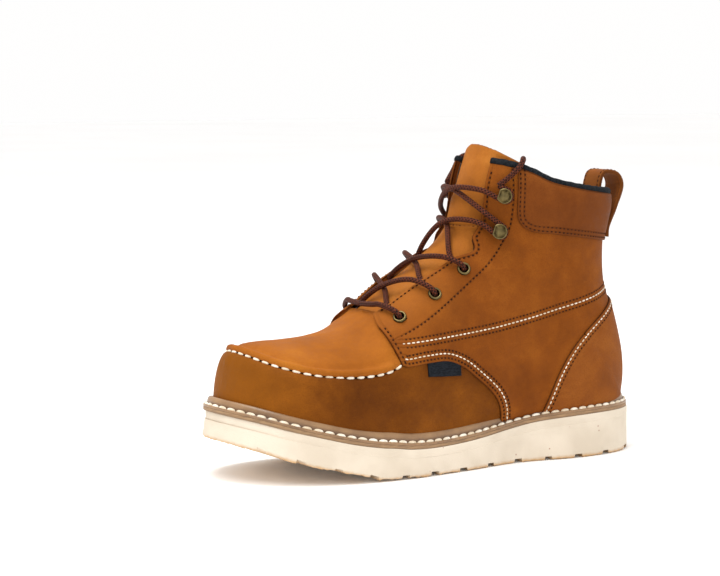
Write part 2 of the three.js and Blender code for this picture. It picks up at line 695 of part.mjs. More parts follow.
function insole(cavity) {
  const board = loft([
    flatLoop(() => WELT_REACH, (x) => seatAt(x)),
    flatLoop(() => WELT_REACH, (x) => seatAt(x) + INSOLE_THICK),
  ]);
  return board.intersect(cavity);
}

// A strip along the crest, as wide as halfAt says, from under the surface to over it
function crestStrip(from, to, halfAt, over, under) {
  const steps = 9;
  const rings = [];
  for (let i = 0; i <= steps; i++) {
    const section = from + ((to - from) * i) / steps;
    const crest = surface(section, 0);
    const down = footPoint(section, true).sub(crest);
    down.y = 0;
    down.normalize();
    const top = crest.clone().addScaledVector(down, -over);
    const low = crest.clone().addScaledVector(down, under);
    const half = halfAt(section);
    const shift = (p, y) => new THREE.Vector3(p.x, p.y + y, p.z);
    rings.push([shift(top, -half), shift(low, -half), shift(low, half), shift(top, half)]);
  }
  return loft(rings);
}

const throatHalf = smooth(column(THROAT, 'section'), column(THROAT, 'half', BALL_WIDTH));
const throatStart = THROAT[0].section;

const quarterRegion = () => sidePrism([...edgeLine(QUARTER_EDGE), [-LENGTH, 0], [-LENGTH, DEEP * 2], [LENGTH * 0.166, DEEP * 2]]);
const overCollar = (shift) => sidePrism([...edgeLine(COLLAR_EDGE, shift), [-DEEP, DEEP * 2], [DEEP / 4, DEEP * 2]]);

function facingPlace({ section, reach }, side) {
  return { point: surface(section, side * reach), normal: surfaceNormal(section, side * reach) };
}

function placed(geometry, { point, normal }, height) {
  const turn = new THREE.Quaternion().setFromUnitVectors(new THREE.Vector3(0, 1, 0), normal);
  geometry.applyQuaternion(turn);
  const seat = point.clone().addScaledVector(normal, height);
  geometry.translate(seat.x, seat.y, seat.z);
  return geometry;
}

const SIDES = [['lateral', 1], ['medial', -1]];

// Upper: the vamp's form and the quarters' step over it, hollow, open at collar, throat and sole
function upper(vampForm, quarterForm, cavity) {
  let solid = vampForm.add(quarterForm.intersect(quarterRegion()));
  solid = solid.subtract(seatBlock()).subtract(cavity);
  solid = solid.subtract(crestStrip(throatStart, lastSection, throatHalf, 12, 16));
  solid = solid.subtract(overCollar(-BINDING_HEIGHT - CLEAR));
  const bore = EYELET_HOLE / 2 + EYELET_BARREL + CLEAR;
  for (const [, side] of SIDES) {
    for (const eyelet of EYELETS) {
      const hole = new THREE.CylinderGeometry(bore, bore, 24, 8);
      solid = solid.subtract(solidOf(placed(hole, facingPlace(eyelet, side), 0)));
    }
  }
  return solid;
}

// Apron: the plug's leather with the rolled seam along its edge
function apronOutline(inward) {
  const reachAt = smooth(column(APRON_SEAM, 'section'), column(APRON_SEAM, 'reach'));
  const from = APRON_SEAM[0].section;
  const to = APRON_SEAM[APRON_SEAM.length - 1].section;
  const steps = 11;
  const lateral = [];
  const medial = [];
  for (let i = 0; i <= steps; i++) {
    const section = from + (to - from) * (i / steps) ** 1.6;
    const reach = reachAt(section);
    lateral.push(surface(section, reach));
    if (i > 0) medial.unshift(surface(section, -reach));
  }
  const line = [...medial, ...lateral].map((p) => new THREE.Vector2(p.x, p.y));
  const moved = line.map((p, i) => {
    const a = line[Math.max(i - 1, 0)];
    const b = line[Math.min(i + 1, line.length - 1)];
    const way = b.clone().sub(a).normalize();
    return p.clone().addScaledVector(new THREE.Vector2(-way.y, way.x), inward);
  });
  return moved;
}

function apron(low, plug, rim, quarterClear) {
  const floor = DATUM + SHAFT_HEIGHT * 0.1;
  const ceiling = DATUM + SHAFT_HEIGHT;
  const whole = planPrism(apronOutline(0), floor, ceiling);
  const inside = planPrism(apronOutline(RIM_WIDTH), floor - 1, ceiling + 1);
  const leather = plug.intersect(whole);
  const roll = rim.intersect(whole.subtract(inside));
  const back = sidePrism([[-DEEP, 0], [APRON_BACK * LENGTH, 0], [APRON_BACK * LENGTH, DEEP * 2], [-DEEP, DEEP * 2]]);
  return leather.add(roll).subtract(low).subtract(back).subtract(quarterClear);
}

// Its face lies close under the facings at the instep, and leaves room for the lace at the top
function tongueFace(section) {
  const back = THREE.MathUtils.smoothstep(section, TONGUE_LEAVES.from, TONGUE_LEAVES.to);
  return TONGUE_FACE - back * (LACE_DIAMETER + 2 * CLEAR);
}

function tongue() {
  const form = sock(tongueFace);
  const inner = sock((section) => tongueFace(section) - TONGUE_THICK);
  const half = () => TONGUE_HALF_WIDTH;
  const strip = crestStrip(throatStart - 0.8, lastSection, half, 12, 34);
  const shell = form.subtract(inner).intersect(strip);
  const wide = TONGUE_HALF_WIDTH * 2;
  const dip = 14;
  const topLine = new THREE.QuadraticBezierCurve3(
    new THREE.Vector3(-LENGTH / 2, TONGUE_TOP - dip * 2, 0),
    new THREE.Vector3(-0.12 * LENGTH, TONGUE_TOP + dip, 0),
    new THREE.Vector3(wide, TONGUE_TOP, 0),
  ).getPoints(10).map((p) => [p.x, p.y]);
  return shell.subtract(sidePrism([...topLine, [wide, DEEP * 2], [-LENGTH / 2, DEEP * 2]]));
}

// Counter: over the heel, its top under the upper seam
function heelCounter(form, low) {
  const region = sidePrism([...edgeLine(COUNTER_EDGE), [-LENGTH, DATUM + SHAFT_HEIGHT / 2], [-LENGTH, -DEEP]]);
  const seat = sidePrism([[-LENGTH, -DEEP], [LENGTH, -DEEP], [LENGTH, beadTop], [-LENGTH, beadTop]]);
  return form.subtract(low).intersect(region).subtract(seat);
}

// Cuff: padded leather round the top of the shaft, open at the facings
function collarCuff(form, low) {
  const region = sidePrism([...edgeLine(CUFF_EDGE), [-LENGTH, DATUM + SHAFT_HEIGHT * 1.2]]);
  return form.subtract(low).intersect(region).subtract(overCollar(-BINDING_HEIGHT - CLEAR));
}

// Binding: a tape folded over the edge of the collar, from facing to facing round the back
function collarBinding() {
  const band = sock(QUARTER_STEP + BINDING_THICK).subtract(sock(-WALL - BINDING_THICK, SEAT));
  const throat = crestStrip(throatStart, lastSection, throatHalf, 12, 16);
  return band.intersect(overCollar(-BINDING_HEIGHT)).subtract(overCollar(0)).subtract(throat);
}

// Pull loop: a folded strap, sewn outside the cuff and inside the collar
function pullLoop() {
  const outside = QUARTER_STEP + CLEAR + CUFF_THICK + CLEAR + LOOP_THICK / 2;
  const inside = WALL + CLEAR + BINDING_THICK + LOOP_THICK / 2;
  const collarBack = COLLAR_EDGE.find((row) => row.along < -0.44).high * SHAFT_HEIGHT;
  const at = (above, out) => {
    const back = backAt((collarBack + Math.min(above, 0)) / BACK_HEIGHT);
    return new THREE.Vector3(back - out, DATUM + collarBack + above, 0);
  };
  const path = new THREE.CatmullRomCurve3([
    at(-LOOP_SEWN, outside),
    at(-0.82 * LOOP_SEWN, outside),
    at(-0.4 * LOOP_SEWN, outside + 0.4 * LOOP_RISE),
    at(0.2 * LOOP_RISE, outside + 0.7 * LOOP_RISE),
    at(0.9 * LOOP_RISE, outside + 0.3 * LOOP_RISE),
    at(LOOP_RISE, -inside / 3),
    at(0.4 * LOOP_RISE, -inside),
    at(-0.26 * LOOP_SEWN, -inside),
    at(-0.57 * LOOP_SEWN, -inside),
  ], false, 'centripetal');
  const steps = 16;
  const front = [];
  const back = [];
  for (let i = 0; i <= steps; i++) {
    const p = path.getPointAt(i / steps);
    const way = path.getTangentAt(i / steps);
    const across = new THREE.Vector2(-way.y, way.x).multiplyScalar(LOOP_THICK / 2);
    front.push([p.x + across.x, p.y + across.y]);
    back.unshift([p.x - across.x, p.y - across.y]);
  }
  const strap = sidePrism([...front, ...back], -LOOP_WIDTH / 2, LOOP_WIDTH / 2);
  const outer = sock(QUARTER_STEP + CLEAR + CUFF_THICK + CLEAR, SEAT);
  const inner = sock(-WALL - BINDING_THICK - CLEAR, SEAT);
  return strap.subtract(outer.subtract(inner).subtract(overCollar(CLEAR)));
}

// Tag: woven, tucked under the lower edge of the quarter on the lateral side
function sideTag(form, low, quarterClear) {
  const across = 0.044 * LENGTH;
  const hang = DATUM + 0.214 * SHAFT_HEIGHT;
  const box = sidePrism([
    [across - TAG_LENGTH / 2, hang - TAG_HEIGHT],
    [across + TAG_LENGTH / 2, hang - TAG_HEIGHT * 0.86],
    [across + TAG_LENGTH / 2, hang + TAG_HEIGHT],
    [across - TAG_LENGTH / 2, hang + TAG_HEIGHT],
  ], 0, DEEP);
  return form.intersect(box).subtract(low).subtract(quarterClear);
}

function eyelet() {
  const hole = EYELET_HOLE / 2;
  const barrel = hole + EYELET_BARREL;
  const flange = EYELET_FLANGE / 2;
  const depth = WALL + QUARTER_STEP + CLEAR;
  const profile = [[hole, -depth], [barrel, -depth], [barrel, 0], [flange, 0], [flange * 0.9, EYELET_RISE * 0.8],
    [barrel, EYELET_RISE], [hole, EYELET_RISE * 0.6], [hole, -depth]];
  return new THREE.LatheGeometry(profile.map(([r, h]) => new THREE.Vector2(r, h)), 8);
}

function hook() {
  const stem = HOOK_STEM / 2;
  const cap = HOOK_CAP / 2;
  const under = HOOK_HEIGHT - 1.9;
  const profile = [[0, 0], [cap * 0.9, 0], [cap * 0.9, HOOK_PLATE], [stem, HOOK_PLATE + 0.4], [stem, under],
    [cap, under + 0.2], [cap * 0.96, under + 1], [cap * 0.6, HOOK_HEIGHT - 0.2], [0, HOOK_HEIGHT]];
  return new THREE.LatheGeometry(profile.map(([r, h]) => new THREE.Vector2(r, h)), 8);
}

// Lace: each strand comes from under one facing, or from a hook, and goes over the other facing to the
// next fastening; the two strands of a crossing are joined where they meet on the middle line
const LACE_CROSSINGS = [
  { from: EYELETS[0], to: EYELETS[1], middle: 1.4, hooked: false },
  { from: EYELETS[1], to: EYELETS[2], middle: 1.4, hooked: false },
  { from: EYELETS[2], to: HOOKS[0], middle: 1.6, hooked: false },
  { from: HOOKS[0], to: HOOKS[1], middle: 3.6, hooked: true },
];
const HOOK_ASIDE = { section: 0.36, reach: 0.036 };
const EYELET_ASIDE = 0.012;
const INTO_THROAT = LACE_RADIUS + 3 * CLEAR;   // from a facing's edge to a strand that comes from under it

const overEdge = (section, side, height) => above(section, reachFor(section, side, throatHalf(section)), height);

function strandStart({ from, hooked }, side) {
  const { section, reach } = from;
  if (hooked) {
    return [
      above(section + HOOK_ASIDE.section, side * (reach - HOOK_ASIDE.reach), LACE_ON_HOOK),
      overEdge(section + 2 * HOOK_ASIDE.section, side, LACE_ON_HOOK),
    ];
  }
  const inside = reachFor(section, side, throatHalf(section) - INTO_THROAT);
  return [above(section + 0.1, inside, LACE_ON_TONGUE)];
}

function strandEnd({ from, to }, side) {
  const { section, reach } = to;
  const edge = THREE.MathUtils.lerp(from.section, section, 0.84);
  if (HOOKS.includes(to)) {
    return [
      overEdge(edge, side, LACE_ON_HOOK),
      above(section - HOOK_ASIDE.section, side * (reach - HOOK_ASIDE.reach), LACE_ON_HOOK),
    ];
  }
  return [overEdge(edge, side, LACE_ON_EYELET), above(section, side * (reach - EYELET_ASIDE), LACE_ON_EYELET)];
}

function laceCrossing(row) {
  const centre = above((row.from.section + row.to.section) / 2, 0, row.middle);
  const [first, second] = [1, -1].map((side) => {
    const route = [...strandStart(row, side), centre, ...strandEnd(row, -side)];
    return solidOf(tube(route, LACE_DIAMETER, 6));
  });
  return first.add(second);
}

function laceBar() {
  const { section, reach } = EYELETS[0];
  const end = (side) => above(section, side * (reach - EYELET_ASIDE), LACE_ON_EYELET);
  const edge = (side) => overEdge(section - 0.12, side, LACE_ON_EYELET);
  return tube([end(1), edge(1), above(section - 0.2, 0, LACE_ON_FACING), edge(-1), end(-1)], LACE_DIAMETER, 8);
}

// The lace's ends, from the upper hooks over the binding to just inside the collar; y is mirrored
const LACE_END = [
  { x: -35.4, y: 30.8, z: 179.3 },
  { x: -39.4, y: 33.4, z: 182.9 },
  { x: -43.5, y: 35.6, z: 187 },
  { x: -47.3, y: 37.5, z: 191.5 },
  { x: -50.3, y: 36.6, z: 195.1 },
  { x: -52.8, y: 33, z: 196.2 },
  { x: -54.2, y: 29.8, z: 193.3 },
  { x: -53.4, y: 29.3, z: 189.2 },
  { x: -52, y: 28.9, z: 184.6 },
];

const laceEnd = (side) => tube(LACE_END.map(({ x, y, z }) => new THREE.Vector3(x, side * y, z)), LACE_DIAMETER, 12);

// The sole, the upper and what lies in it
const vampForm = sock(0);
const quarterForm = sock(QUARTER_STEP);
const quarterClear = sock(QUARTER_STEP + CLEAR, SEAT);
const cavity = sock(-WALL, SEAT * 4);
const quarterAndGap = quarterClear.intersect(quarterRegion());

addSolid('outsole', outsole(), CREAM_RUBBER);
addSolid('midsole', midsole(), MIDSOLE_LEATHER);
addSolid('welt', welt(sock(QUARTER_STEP + 2 * CLEAR, SEAT)), WELT_LEATHER);
addSolid('insole', insole(sock(-WALL - 1.5 * CLEAR, SEAT * 4)), INSOLE_BOARD);
addSolid('upper', upper(vampForm, quarterForm, cavity), LEATHER);
addSolid('tongue', tongue(), TONGUE_LEATHER);

// What lies over the upper, each piece between two larger forms of the same surface
const overVamp = sock(CLEAR, SEAT);
const counterLow = quarterClear;
const counterForm = sock(QUARTER_STEP + CLEAR + OVERLAY, SEAT);
const cuffForm = sock(QUARTER_STEP + CLEAR + CUFF_THICK, SEAT);

addSolid('apron', apron(overVamp, sock(CLEAR + PLUG_THICK), sock(CLEAR + RIM_HEIGHT), quarterAndGap), LEATHER);
addSolid('heel_counter', heelCounter(counterForm, counterLow), LEATHER);
addSolid('collar_cuff', collarCuff(cuffForm, counterLow), LEATHER);
addSolid('collar_binding', collarBinding(), BINDING_TAPE);
addSolid('pull_loop', pullLoop(), LEATHER);
addSolid('side_tag', sideTag(sock(CLEAR + TAG_THICK, SEAT), overVamp, quarterAndGap), WOVEN_TAG);

for (const [side, sign] of SIDES) {
  EYELETS.forEach((at, i) => {
    addMesh(`eyelet_${i + 1}_${side}`, placed(eyelet(), facingPlace(at, sign), FASTENING_SEAT), BRASS);
  });
  HOOKS.forEach((at, i) => {
    addMesh(`hook_${i + 1}_${side}`, placed(hook(), facingPlace(at, sign), FASTENING_SEAT), BRASS);
  });
}

addMesh('lace_bar', laceBar(), LACE_CORD);
LACE_CROSSINGS.forEach((row, i) => addSolid(`lace_cross_${i + 1}`, laceCrossing(row), LACE_CORD));
for (const [side, sign] of SIDES) addMesh(`lace_end_${side}`, laceEnd(sign), LACE_CORD);

export default boot;
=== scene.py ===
# %% [markdown]
# # A wedge sole work boot
# The CAD model gives plain solids of the true shape and size. This lesson dresses them: each leather
# panel, seam, hook and lace is rebuilt as a fine mesh on the same last, and gets a material made of nodes.
# Lengths are in metres, +X runs to the toe, +Y to the outer side of this left boot, +Z up.

import math

import bpy
import numpy as np
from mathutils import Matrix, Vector


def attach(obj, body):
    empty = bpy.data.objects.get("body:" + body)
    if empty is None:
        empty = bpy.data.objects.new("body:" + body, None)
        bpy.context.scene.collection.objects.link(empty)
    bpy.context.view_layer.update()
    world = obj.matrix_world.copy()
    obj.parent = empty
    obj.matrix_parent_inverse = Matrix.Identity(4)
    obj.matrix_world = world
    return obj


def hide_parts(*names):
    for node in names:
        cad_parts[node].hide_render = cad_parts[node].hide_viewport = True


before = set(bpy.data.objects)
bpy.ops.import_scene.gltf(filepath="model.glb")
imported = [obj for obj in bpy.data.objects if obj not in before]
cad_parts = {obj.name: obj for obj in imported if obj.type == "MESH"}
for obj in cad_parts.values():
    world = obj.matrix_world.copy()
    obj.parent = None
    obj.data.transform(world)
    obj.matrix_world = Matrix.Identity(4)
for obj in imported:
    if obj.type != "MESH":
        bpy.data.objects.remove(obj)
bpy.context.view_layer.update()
MM = 0.001

# %% [markdown]
# ## Camera
# A long lens from the front of the outer side, just above the collar's height, as a product photographer
# uses: the boot keeps its true proportions.

# %% Camera
def add_camera():
    azimuth, elevation = math.radians(150), math.radians(5.5)
    target = Vector((0.048997, 0, 0.115018))
    back = Vector((
        math.sin(azimuth) * math.cos(elevation),
        -math.cos(azimuth) * math.cos(elevation),
        math.sin(elevation),
    ))
    data = bpy.data.cameras.new("camera")
    data.sensor_width = 36
    data.lens = 118.07
    camera = bpy.data.objects.new("camera", data)
    camera.location = target + 1.5 * back
    camera.rotation_euler = (-back).to_track_quat("-Z", "Y").to_euler()
    bpy.context.scene.collection.objects.link(camera)
    bpy.context.scene.camera = camera
    return camera


camera = add_camera()
print("camera at", [round(x, 3) for x in camera.location])

# %% [markdown]
# ## The last
# Every leather piece lies on one surface, so the surface comes first, as a function. A section is a rib
# that stands on the featherline: 0 at the toe, 13 at the back of the heel, 21 at the top of the throat.
# Reach says how far down the rib a point lies: 0 on the crest, 1 on the outer and -1 on the inner foot.

# %% Sizes and tables of the last
LENGTH, BALL_WIDTH, HEEL_SOLE = 0.305, 0.1115, 0.0285
TOE_SPRING, TOE_FLARE = 0.025, 2 * MM
BACK_HEIGHT, SHAFT_HEIGHT = 0.145, 0.181
SEAT = 2.4 * MM
DATUM = HEEL_SOLE + SEAT
WELT_REACH = 6.5 * MM
WALL, QUARTER = 2.4 * MM, 1.6 * MM
HEEL_SECTION = 13

OUTLINE = {
    "lateral": [-0.074, 0.148, 0.348, 0.469, 0.497, 0.432, 0.34, 0.37, 0.326, 0.2, -0.002],
    "medial": [-0.074, -0.279, -0.429, -0.498, -0.473, -0.374, -0.314, -0.327, -0.308, -0.187, -0.002],
}
SOLE_SIDE = {
    "along": [-0.5, -0.42, -0.34, -0.27, -0.205, -0.14, -0.06, 0.02, 0.08, 0.14, 0.2, 0.27, 0.33, 0.39, 0.45, 0.5],
    "lift": [0, 0, 0, 0, 0, 0, 0, 0, 0, 0, 0, 0.2, 0.36, 0.56, 0.82, 1],
    "thick": [1, 1, 0.99, 0.961, 0.905, 0.807, 0.702, 0.639, 0.621, 0.646, 0.723, 0.674, 0.688, 0.681, 0.642, 0.614],
}
SECTIONS = {
    "foot": [0, 0.085, 0.17, 0.245, 0.31, 0.37, 0.43, 0.49, 0.555, 0.625, 0.7, 0.78, 0.87, 1],
    "rise": [0, 0.1, 0.25, 0.42, 0.58, 0.74, 0.9, 1.05, 1.2],
    "along": [0.4616, 0.4492, 0.423, 0.3803, 0.3213, 0.2557, 0.1967, 0.1426, 0.0852, 0.0295, -0.0115,
              -0.0393, -0.0541, -0.0623, -0.0689, -0.0754, -0.082, -0.0885, -0.0967, -0.1049, -0.113, -0.123],
    "high": [0.2243, 0.2547, 0.2768, 0.2856, 0.2878, 0.2967, 0.3243, 0.3895, 0.4657, 0.5326, 0.5878,
             0.6376, 0.6845, 0.7249, 0.7558, 0.784, 0.8116, 0.842, 0.8751, 0.9083, 0.9448, 1],
    "middle": [-0.0735, -0.0771, -0.0753, -0.0717, -0.0664, -0.0592, -0.0484, -0.0359, -0.0269, -0.0179,
               -0.0108, -0.0054, -0.0027, -0.0018, 0, 0, 0, 0, 0, 0, 0, 0],
    "lateral": [0, 0.177, 0.341, 0.449, 0.505, 0.518, 0.5, 0.456, 0.409, 0.3767, 0.3587, 0.3498, 0.3408,
                0.3336, 0.33, 0.33, 0.3336, 0.3426, 0.3551, 0.3641, 0.3659, 0.3659],
    "medial": [0, 0.157, 0.281, 0.3587, 0.4081, 0.426, 0.4215, 0.4036, 0.3767, 0.3543, 0.3453, 0.3408,
               0.3363, 0.3318, 0.33, 0.33, 0.3336, 0.3426, 0.3551, 0.3641, 0.3659, 0.3659],
    "widest": [0.62, 0.6, 0.6, 0.62, 0.66, 0.68, 0.7, 0.71, 0.71, 0.7, 0.67, 0.63, 0.59, 0.56, 0.54,
               0.52, 0.51, 0.5, 0.5, 0.5, 0.5, 0.5],
    "top": [2, 2, 2, 2.1, 2.1, 2.2, 2.4, 2.9, 3.2, 3.2, 3.1, 2.8, 2.5, 2.3, 2.3, 2.3, 2.3, 2.3, 2.3, 2.3, 2.3, 2.3],
    "side": [2.3, 2.3, 2.3, 2.3, 2.3, 2.3, 2.3, 2.2, 2.2, 2.2, 2.2, 2.2, 2.1, 2, 2, 2, 2, 2, 2, 2, 2, 2],
}
BACK_LINE = {
    "rise": [0, 0.08, 0.18, 0.3, 0.42, 0.55, 0.68, 0.8, 0.9, 1, 1.2],
    "along": [-0.4795, -0.4846, -0.483, -0.47, -0.452, -0.433, -0.427, -0.4295, -0.438, -0.446, -0.458],
}

# %% [markdown]
# ## From tables to curves
# A last is charted at a few places and faired between them. A cubic through the points does the same here: its
# slope at each point is the weighted mean of its neighbours, so a line stays fair and passes every point. A spline
# object could do it too, but plain numbers are easier to ask for a height at any place.

# %% Smooth curves through the tables
def smooth(at, value, start_slope=None):
    at, value = np.asarray(at, float), np.asarray(value, float)
    step = np.diff(at)
    rise = np.diff(value) / step
    slope = np.empty(len(at))
    slope[1:-1] = (rise[:-1] * step[1:] + rise[1:] * step[:-1]) / (step[:-1] + step[1:])
    slope[0] = rise[0] if start_slope is None else start_slope
    slope[-1] = rise[-1]

    def curve(where):
        x = np.clip(where, at[0], at[-1])
        i = np.clip(np.searchsorted(at, x, side="right") - 1, 0, len(at) - 2)
        h = step[i]
        t = (x - at[i]) / h
        return ((2 * t**3 - 3 * t**2 + 1) * value[i] + (t**3 - 2 * t**2 + t) * h * slope[i]
                + (3 * t**2 - 2 * t**3) * value[i + 1] + (t**3 - t**2) * h * slope[i + 1])

    return curve


def outline_side():
    turns = np.arange(11) / 10
    ring_turns = np.concatenate([-turns[:0:-1], turns])
    ring = np.concatenate([OUTLINE["medial"][:0:-1], OUTLINE["lateral"]]) * BALL_WIDTH
    turns = np.concatenate([ring_turns[-4:-1] - 2, ring_turns, ring_turns[1:4] + 2])
    return smooth(turns, np.concatenate([ring[-4:-1], ring, ring[1:4]]))


side_at = outline_side()


def outline(turn):
    return np.stack([LENGTH / 2 * np.cos(np.pi * turn), side_at(turn)], -1)


def wrapped(turn):
    return (np.asarray(turn) + 1) % 2 - 1


def inset(turn, distance):
    way = outline(wrapped(turn + 0.001)) - outline(wrapped(turn - 0.001))
    way /= np.linalg.norm(way, axis=-1, keepdims=True)
    inward = np.stack([-way[..., 1], way[..., 0]], -1)
    return outline(turn) + inward * np.asarray(distance)[..., None]


sole_along = np.array(SOLE_SIDE["along"]) * LENGTH
spring = smooth(sole_along, np.array(SOLE_SIDE["lift"]) * TOE_SPRING)
thick_at = smooth(sole_along, np.array(SOLE_SIDE["thick"]) * HEEL_SOLE)


def lift_at(x):
    return np.maximum(spring(x), 0)


def sole_top(x):
    return lift_at(x) + thick_at(x)


rows = np.arange(22)
foot_at = smooth(rows[:14], SECTIONS["foot"])
rise_at = smooth(rows[13:], SECTIONS["rise"], 0)
crest_along = smooth(rows, np.array(SECTIONS["along"]) * LENGTH, 0)
crest_high = smooth(rows, np.array(SECTIONS["high"]) * SHAFT_HEIGHT, 0)
middle_at = smooth(rows, np.array(SECTIONS["middle"]) * BALL_WIDTH, 0)
lateral_at = smooth(rows, np.array(SECTIONS["lateral"]) * BALL_WIDTH)
medial_at = smooth(rows, np.array(SECTIONS["medial"]) * BALL_WIDTH)
widest_at = smooth(rows, SECTIONS["widest"], 0)
top_at = smooth(rows, SECTIONS["top"], 0)
side_round_at = smooth(rows, SECTIONS["side"], 0)
back_at = smooth(BACK_LINE["rise"], np.array(BACK_LINE["along"]) * LENGTH)
print("outsole is", round(float(sole_top(-0.15)) / MM, 1), "mm thick at the heel")

# %% [markdown]
# ## The last as one surface
# The last is the wooden foot on which the leather is pulled. Each rib is an arch from the crest down to the
# featherline, a little squarer or rounder by the tables. Sculpting would give the same form, but a formula gives
# each seam, stitch and eyelet its exact seat and the direction that points out of the leather.

# %% The surface of the last and its normals
def foot_point(section, lateral):
    turn = np.minimum(foot_at(section), 1)
    on_welt = inset(np.where(lateral, turn, -turn), np.full(np.shape(turn), WELT_REACH))
    rise = rise_at(section)
    standing = section < HEEL_SECTION
    x = np.where(standing, on_welt[..., 0], back_at(rise))
    y = np.where(standing, on_welt[..., 1], middle_at(section))
    z = np.where(standing, sole_top(on_welt[..., 0]) + SEAT, DATUM + rise * BACK_HEIGHT)
    return np.stack([x, y, z], -1)


def surface(section, reach):
    section, reach = np.broadcast_arrays(np.asarray(section, float), np.asarray(reach, float))
    lateral = reach >= 0
    foot = foot_point(section, lateral)
    crest = np.stack([crest_along(section), middle_at(section), DATUM + crest_high(section)], -1)
    spread = np.abs(foot[..., 1] - crest[..., 1])
    half = np.where(section > 0, np.maximum(np.where(lateral, lateral_at(section), medial_at(section)), spread), 0)
    share = np.where(half > 0, np.minimum(spread / np.maximum(half, 1e-9), 1), 0)
    top, side, widest = top_at(section), side_round_at(section), widest_at(section)
    end = np.pi - np.arcsin(share ** (side / 2))
    angle = np.abs(reach) * end
    upper = angle <= np.pi / 2
    roundness = np.where(upper, top, side)
    out = half * np.abs(np.sin(angle)) ** (2 / roundness)
    bend = np.abs(np.cos(angle)) ** (2 / roundness)
    low = np.maximum(np.abs(np.cos(end)) ** (2 / side), 1e-6)
    down = np.where(upper, widest * (1 - bend), widest + (1 - widest) * (bend / low))
    return np.stack([
        crest[..., 0] + (foot[..., 0] - crest[..., 0]) * down,
        crest[..., 1] + np.where(lateral, out, -out),
        crest[..., 2] + (foot[..., 2] - crest[..., 2]) * down,
    ], -1)


def run_of(points):
    """Length run from the first of some points to each of them."""
    return np.concatenate([[0], np.cumsum(np.linalg.norm(np.diff(points, axis=0), axis=1))])


def read_at(where, run, values):
    """Columns of values, each read at the same places of a run."""
    return np.stack([np.interp(where, run, values[:, k]) for k in range(values.shape[1])], -1)


def unit(v):
    return v / np.maximum(np.linalg.norm(v, axis=-1, keepdims=True), 1e-12)


def surface_normal(section, reach):
    section = np.maximum(section, 0.03)
    step = 0.02 + 0.25 * np.exp(-(((section - HEEL_SECTION) / 0.6) ** 2))
    along = surface(section + step, reach) - surface(section - step, reach)
    across = surface(section, np.minimum(reach + 0.02, 1)) - surface(section, np.maximum(reach - 0.02, -1))
    normal = unit(np.cross(across, along))
    normal[..., 2] = np.maximum(normal[..., 2], -0.3)
    return unit(normal)


def lifted(section, reach, height):
    section, reach = np.broadcast_arrays(np.asarray(section, float), np.asarray(reach, float))
    return surface(section, reach) + surface_normal(section, reach) * np.asarray(height)[..., None]


# %% [markdown]
# ## Finding places on the last
# Seams are drawn as a maker draws them, on a side view of the boot. A small search finds the point of the
# surface that stands behind each drawn point.

# %% Lines on the last
GRID_SECTION, GRID_REACH = np.meshgrid(np.arange(0.05, 21, 0.05), np.arange(0, 1.0001, 0.005), indexing="ij")
SIDE_GRIDS = {side: surface(GRID_SECTION, side * GRID_REACH) for side in (1, -1)}


def behind(x, z, side):
    """Sections and reaches of the surface points that a side view shows at each x, z."""
    grid = SIDE_GRIDS[side].reshape(-1, 3)
    first = [np.argmin((grid[:, 0] - px) ** 2 + (grid[:, 2] - pz) ** 2) for px, pz in zip(x, z)]
    section, reach = GRID_SECTION.ravel()[first], GRID_REACH.ravel()[first]
    across, down = (a.ravel() for a in np.meshgrid(np.linspace(-1, 1, 7), np.linspace(-1, 1, 7), indexing="ij"))
    for power in range(6):
        near = np.clip(section[:, None] + across * 0.05 * 0.4**power, 0.05, 21)
        low = np.clip(reach[:, None] + down * 0.005 * 0.4**power, 0, 1)
        here = surface(near, side * low)
        best = np.argmin((here[..., 0] - x[:, None]) ** 2 + (here[..., 2] - z[:, None]) ** 2, axis=1)
        section, reach = near[np.arange(len(x)), best], low[np.arange(len(x)), best]
    return np.stack([section, side * reach], -1)


def through(points, count):
    """A smooth line through a few points."""
    points = np.asarray(points, float)
    gaps = np.linalg.norm(np.diff(points, axis=0), axis=1) ** 0.5
    at = np.concatenate([[0], np.cumsum(gaps)])
    where = np.linspace(0, at[-1], count)
    return np.stack([smooth(at, points[:, k])(where) for k in range(points.shape[1])], -1)


def drawn(table, side, count=60):
    """A side view's line, given as shares of length and shaft height, found on the surface."""
    line = through([(along * LENGTH, high * SHAFT_HEIGHT + DATUM) for along, high in table], count)
    return behind(line[:, 0], line[:, 1], side)


def lengths(line):
    return run_of(surface(line[:, 0], line[:, 1]))


def part_of(line, shares):
    """The line at shares of its real length."""
    at = lengths(line)
    where = np.asarray(shares) * at[-1]
    return read_at(where, at, line)


def beside(line, distance):
    """The line moved sideways on the surface; positive is to the left of its way, seen from outside."""
    here = surface(line[:, 0], line[:, 1])
    normal = surface_normal(line[:, 0], line[:, 1])
    way = unit(np.gradient(here, axis=0))
    aim = here + unit(np.cross(normal, way)) * distance
    side = 1 if line[:, 1].mean() > 0 else -1
    return behind(aim[:, 0], aim[:, 2], side)


print("grid of the last:", SIDE_GRIDS[1].shape)

# %% [markdown]
# ## Where the pattern's edges run
# The throat's gap, the collar, the front and low edge of the quarter, the counter, the cuff and the
# moccasin seam. Each is a short table, the same that the CAD solids follow.

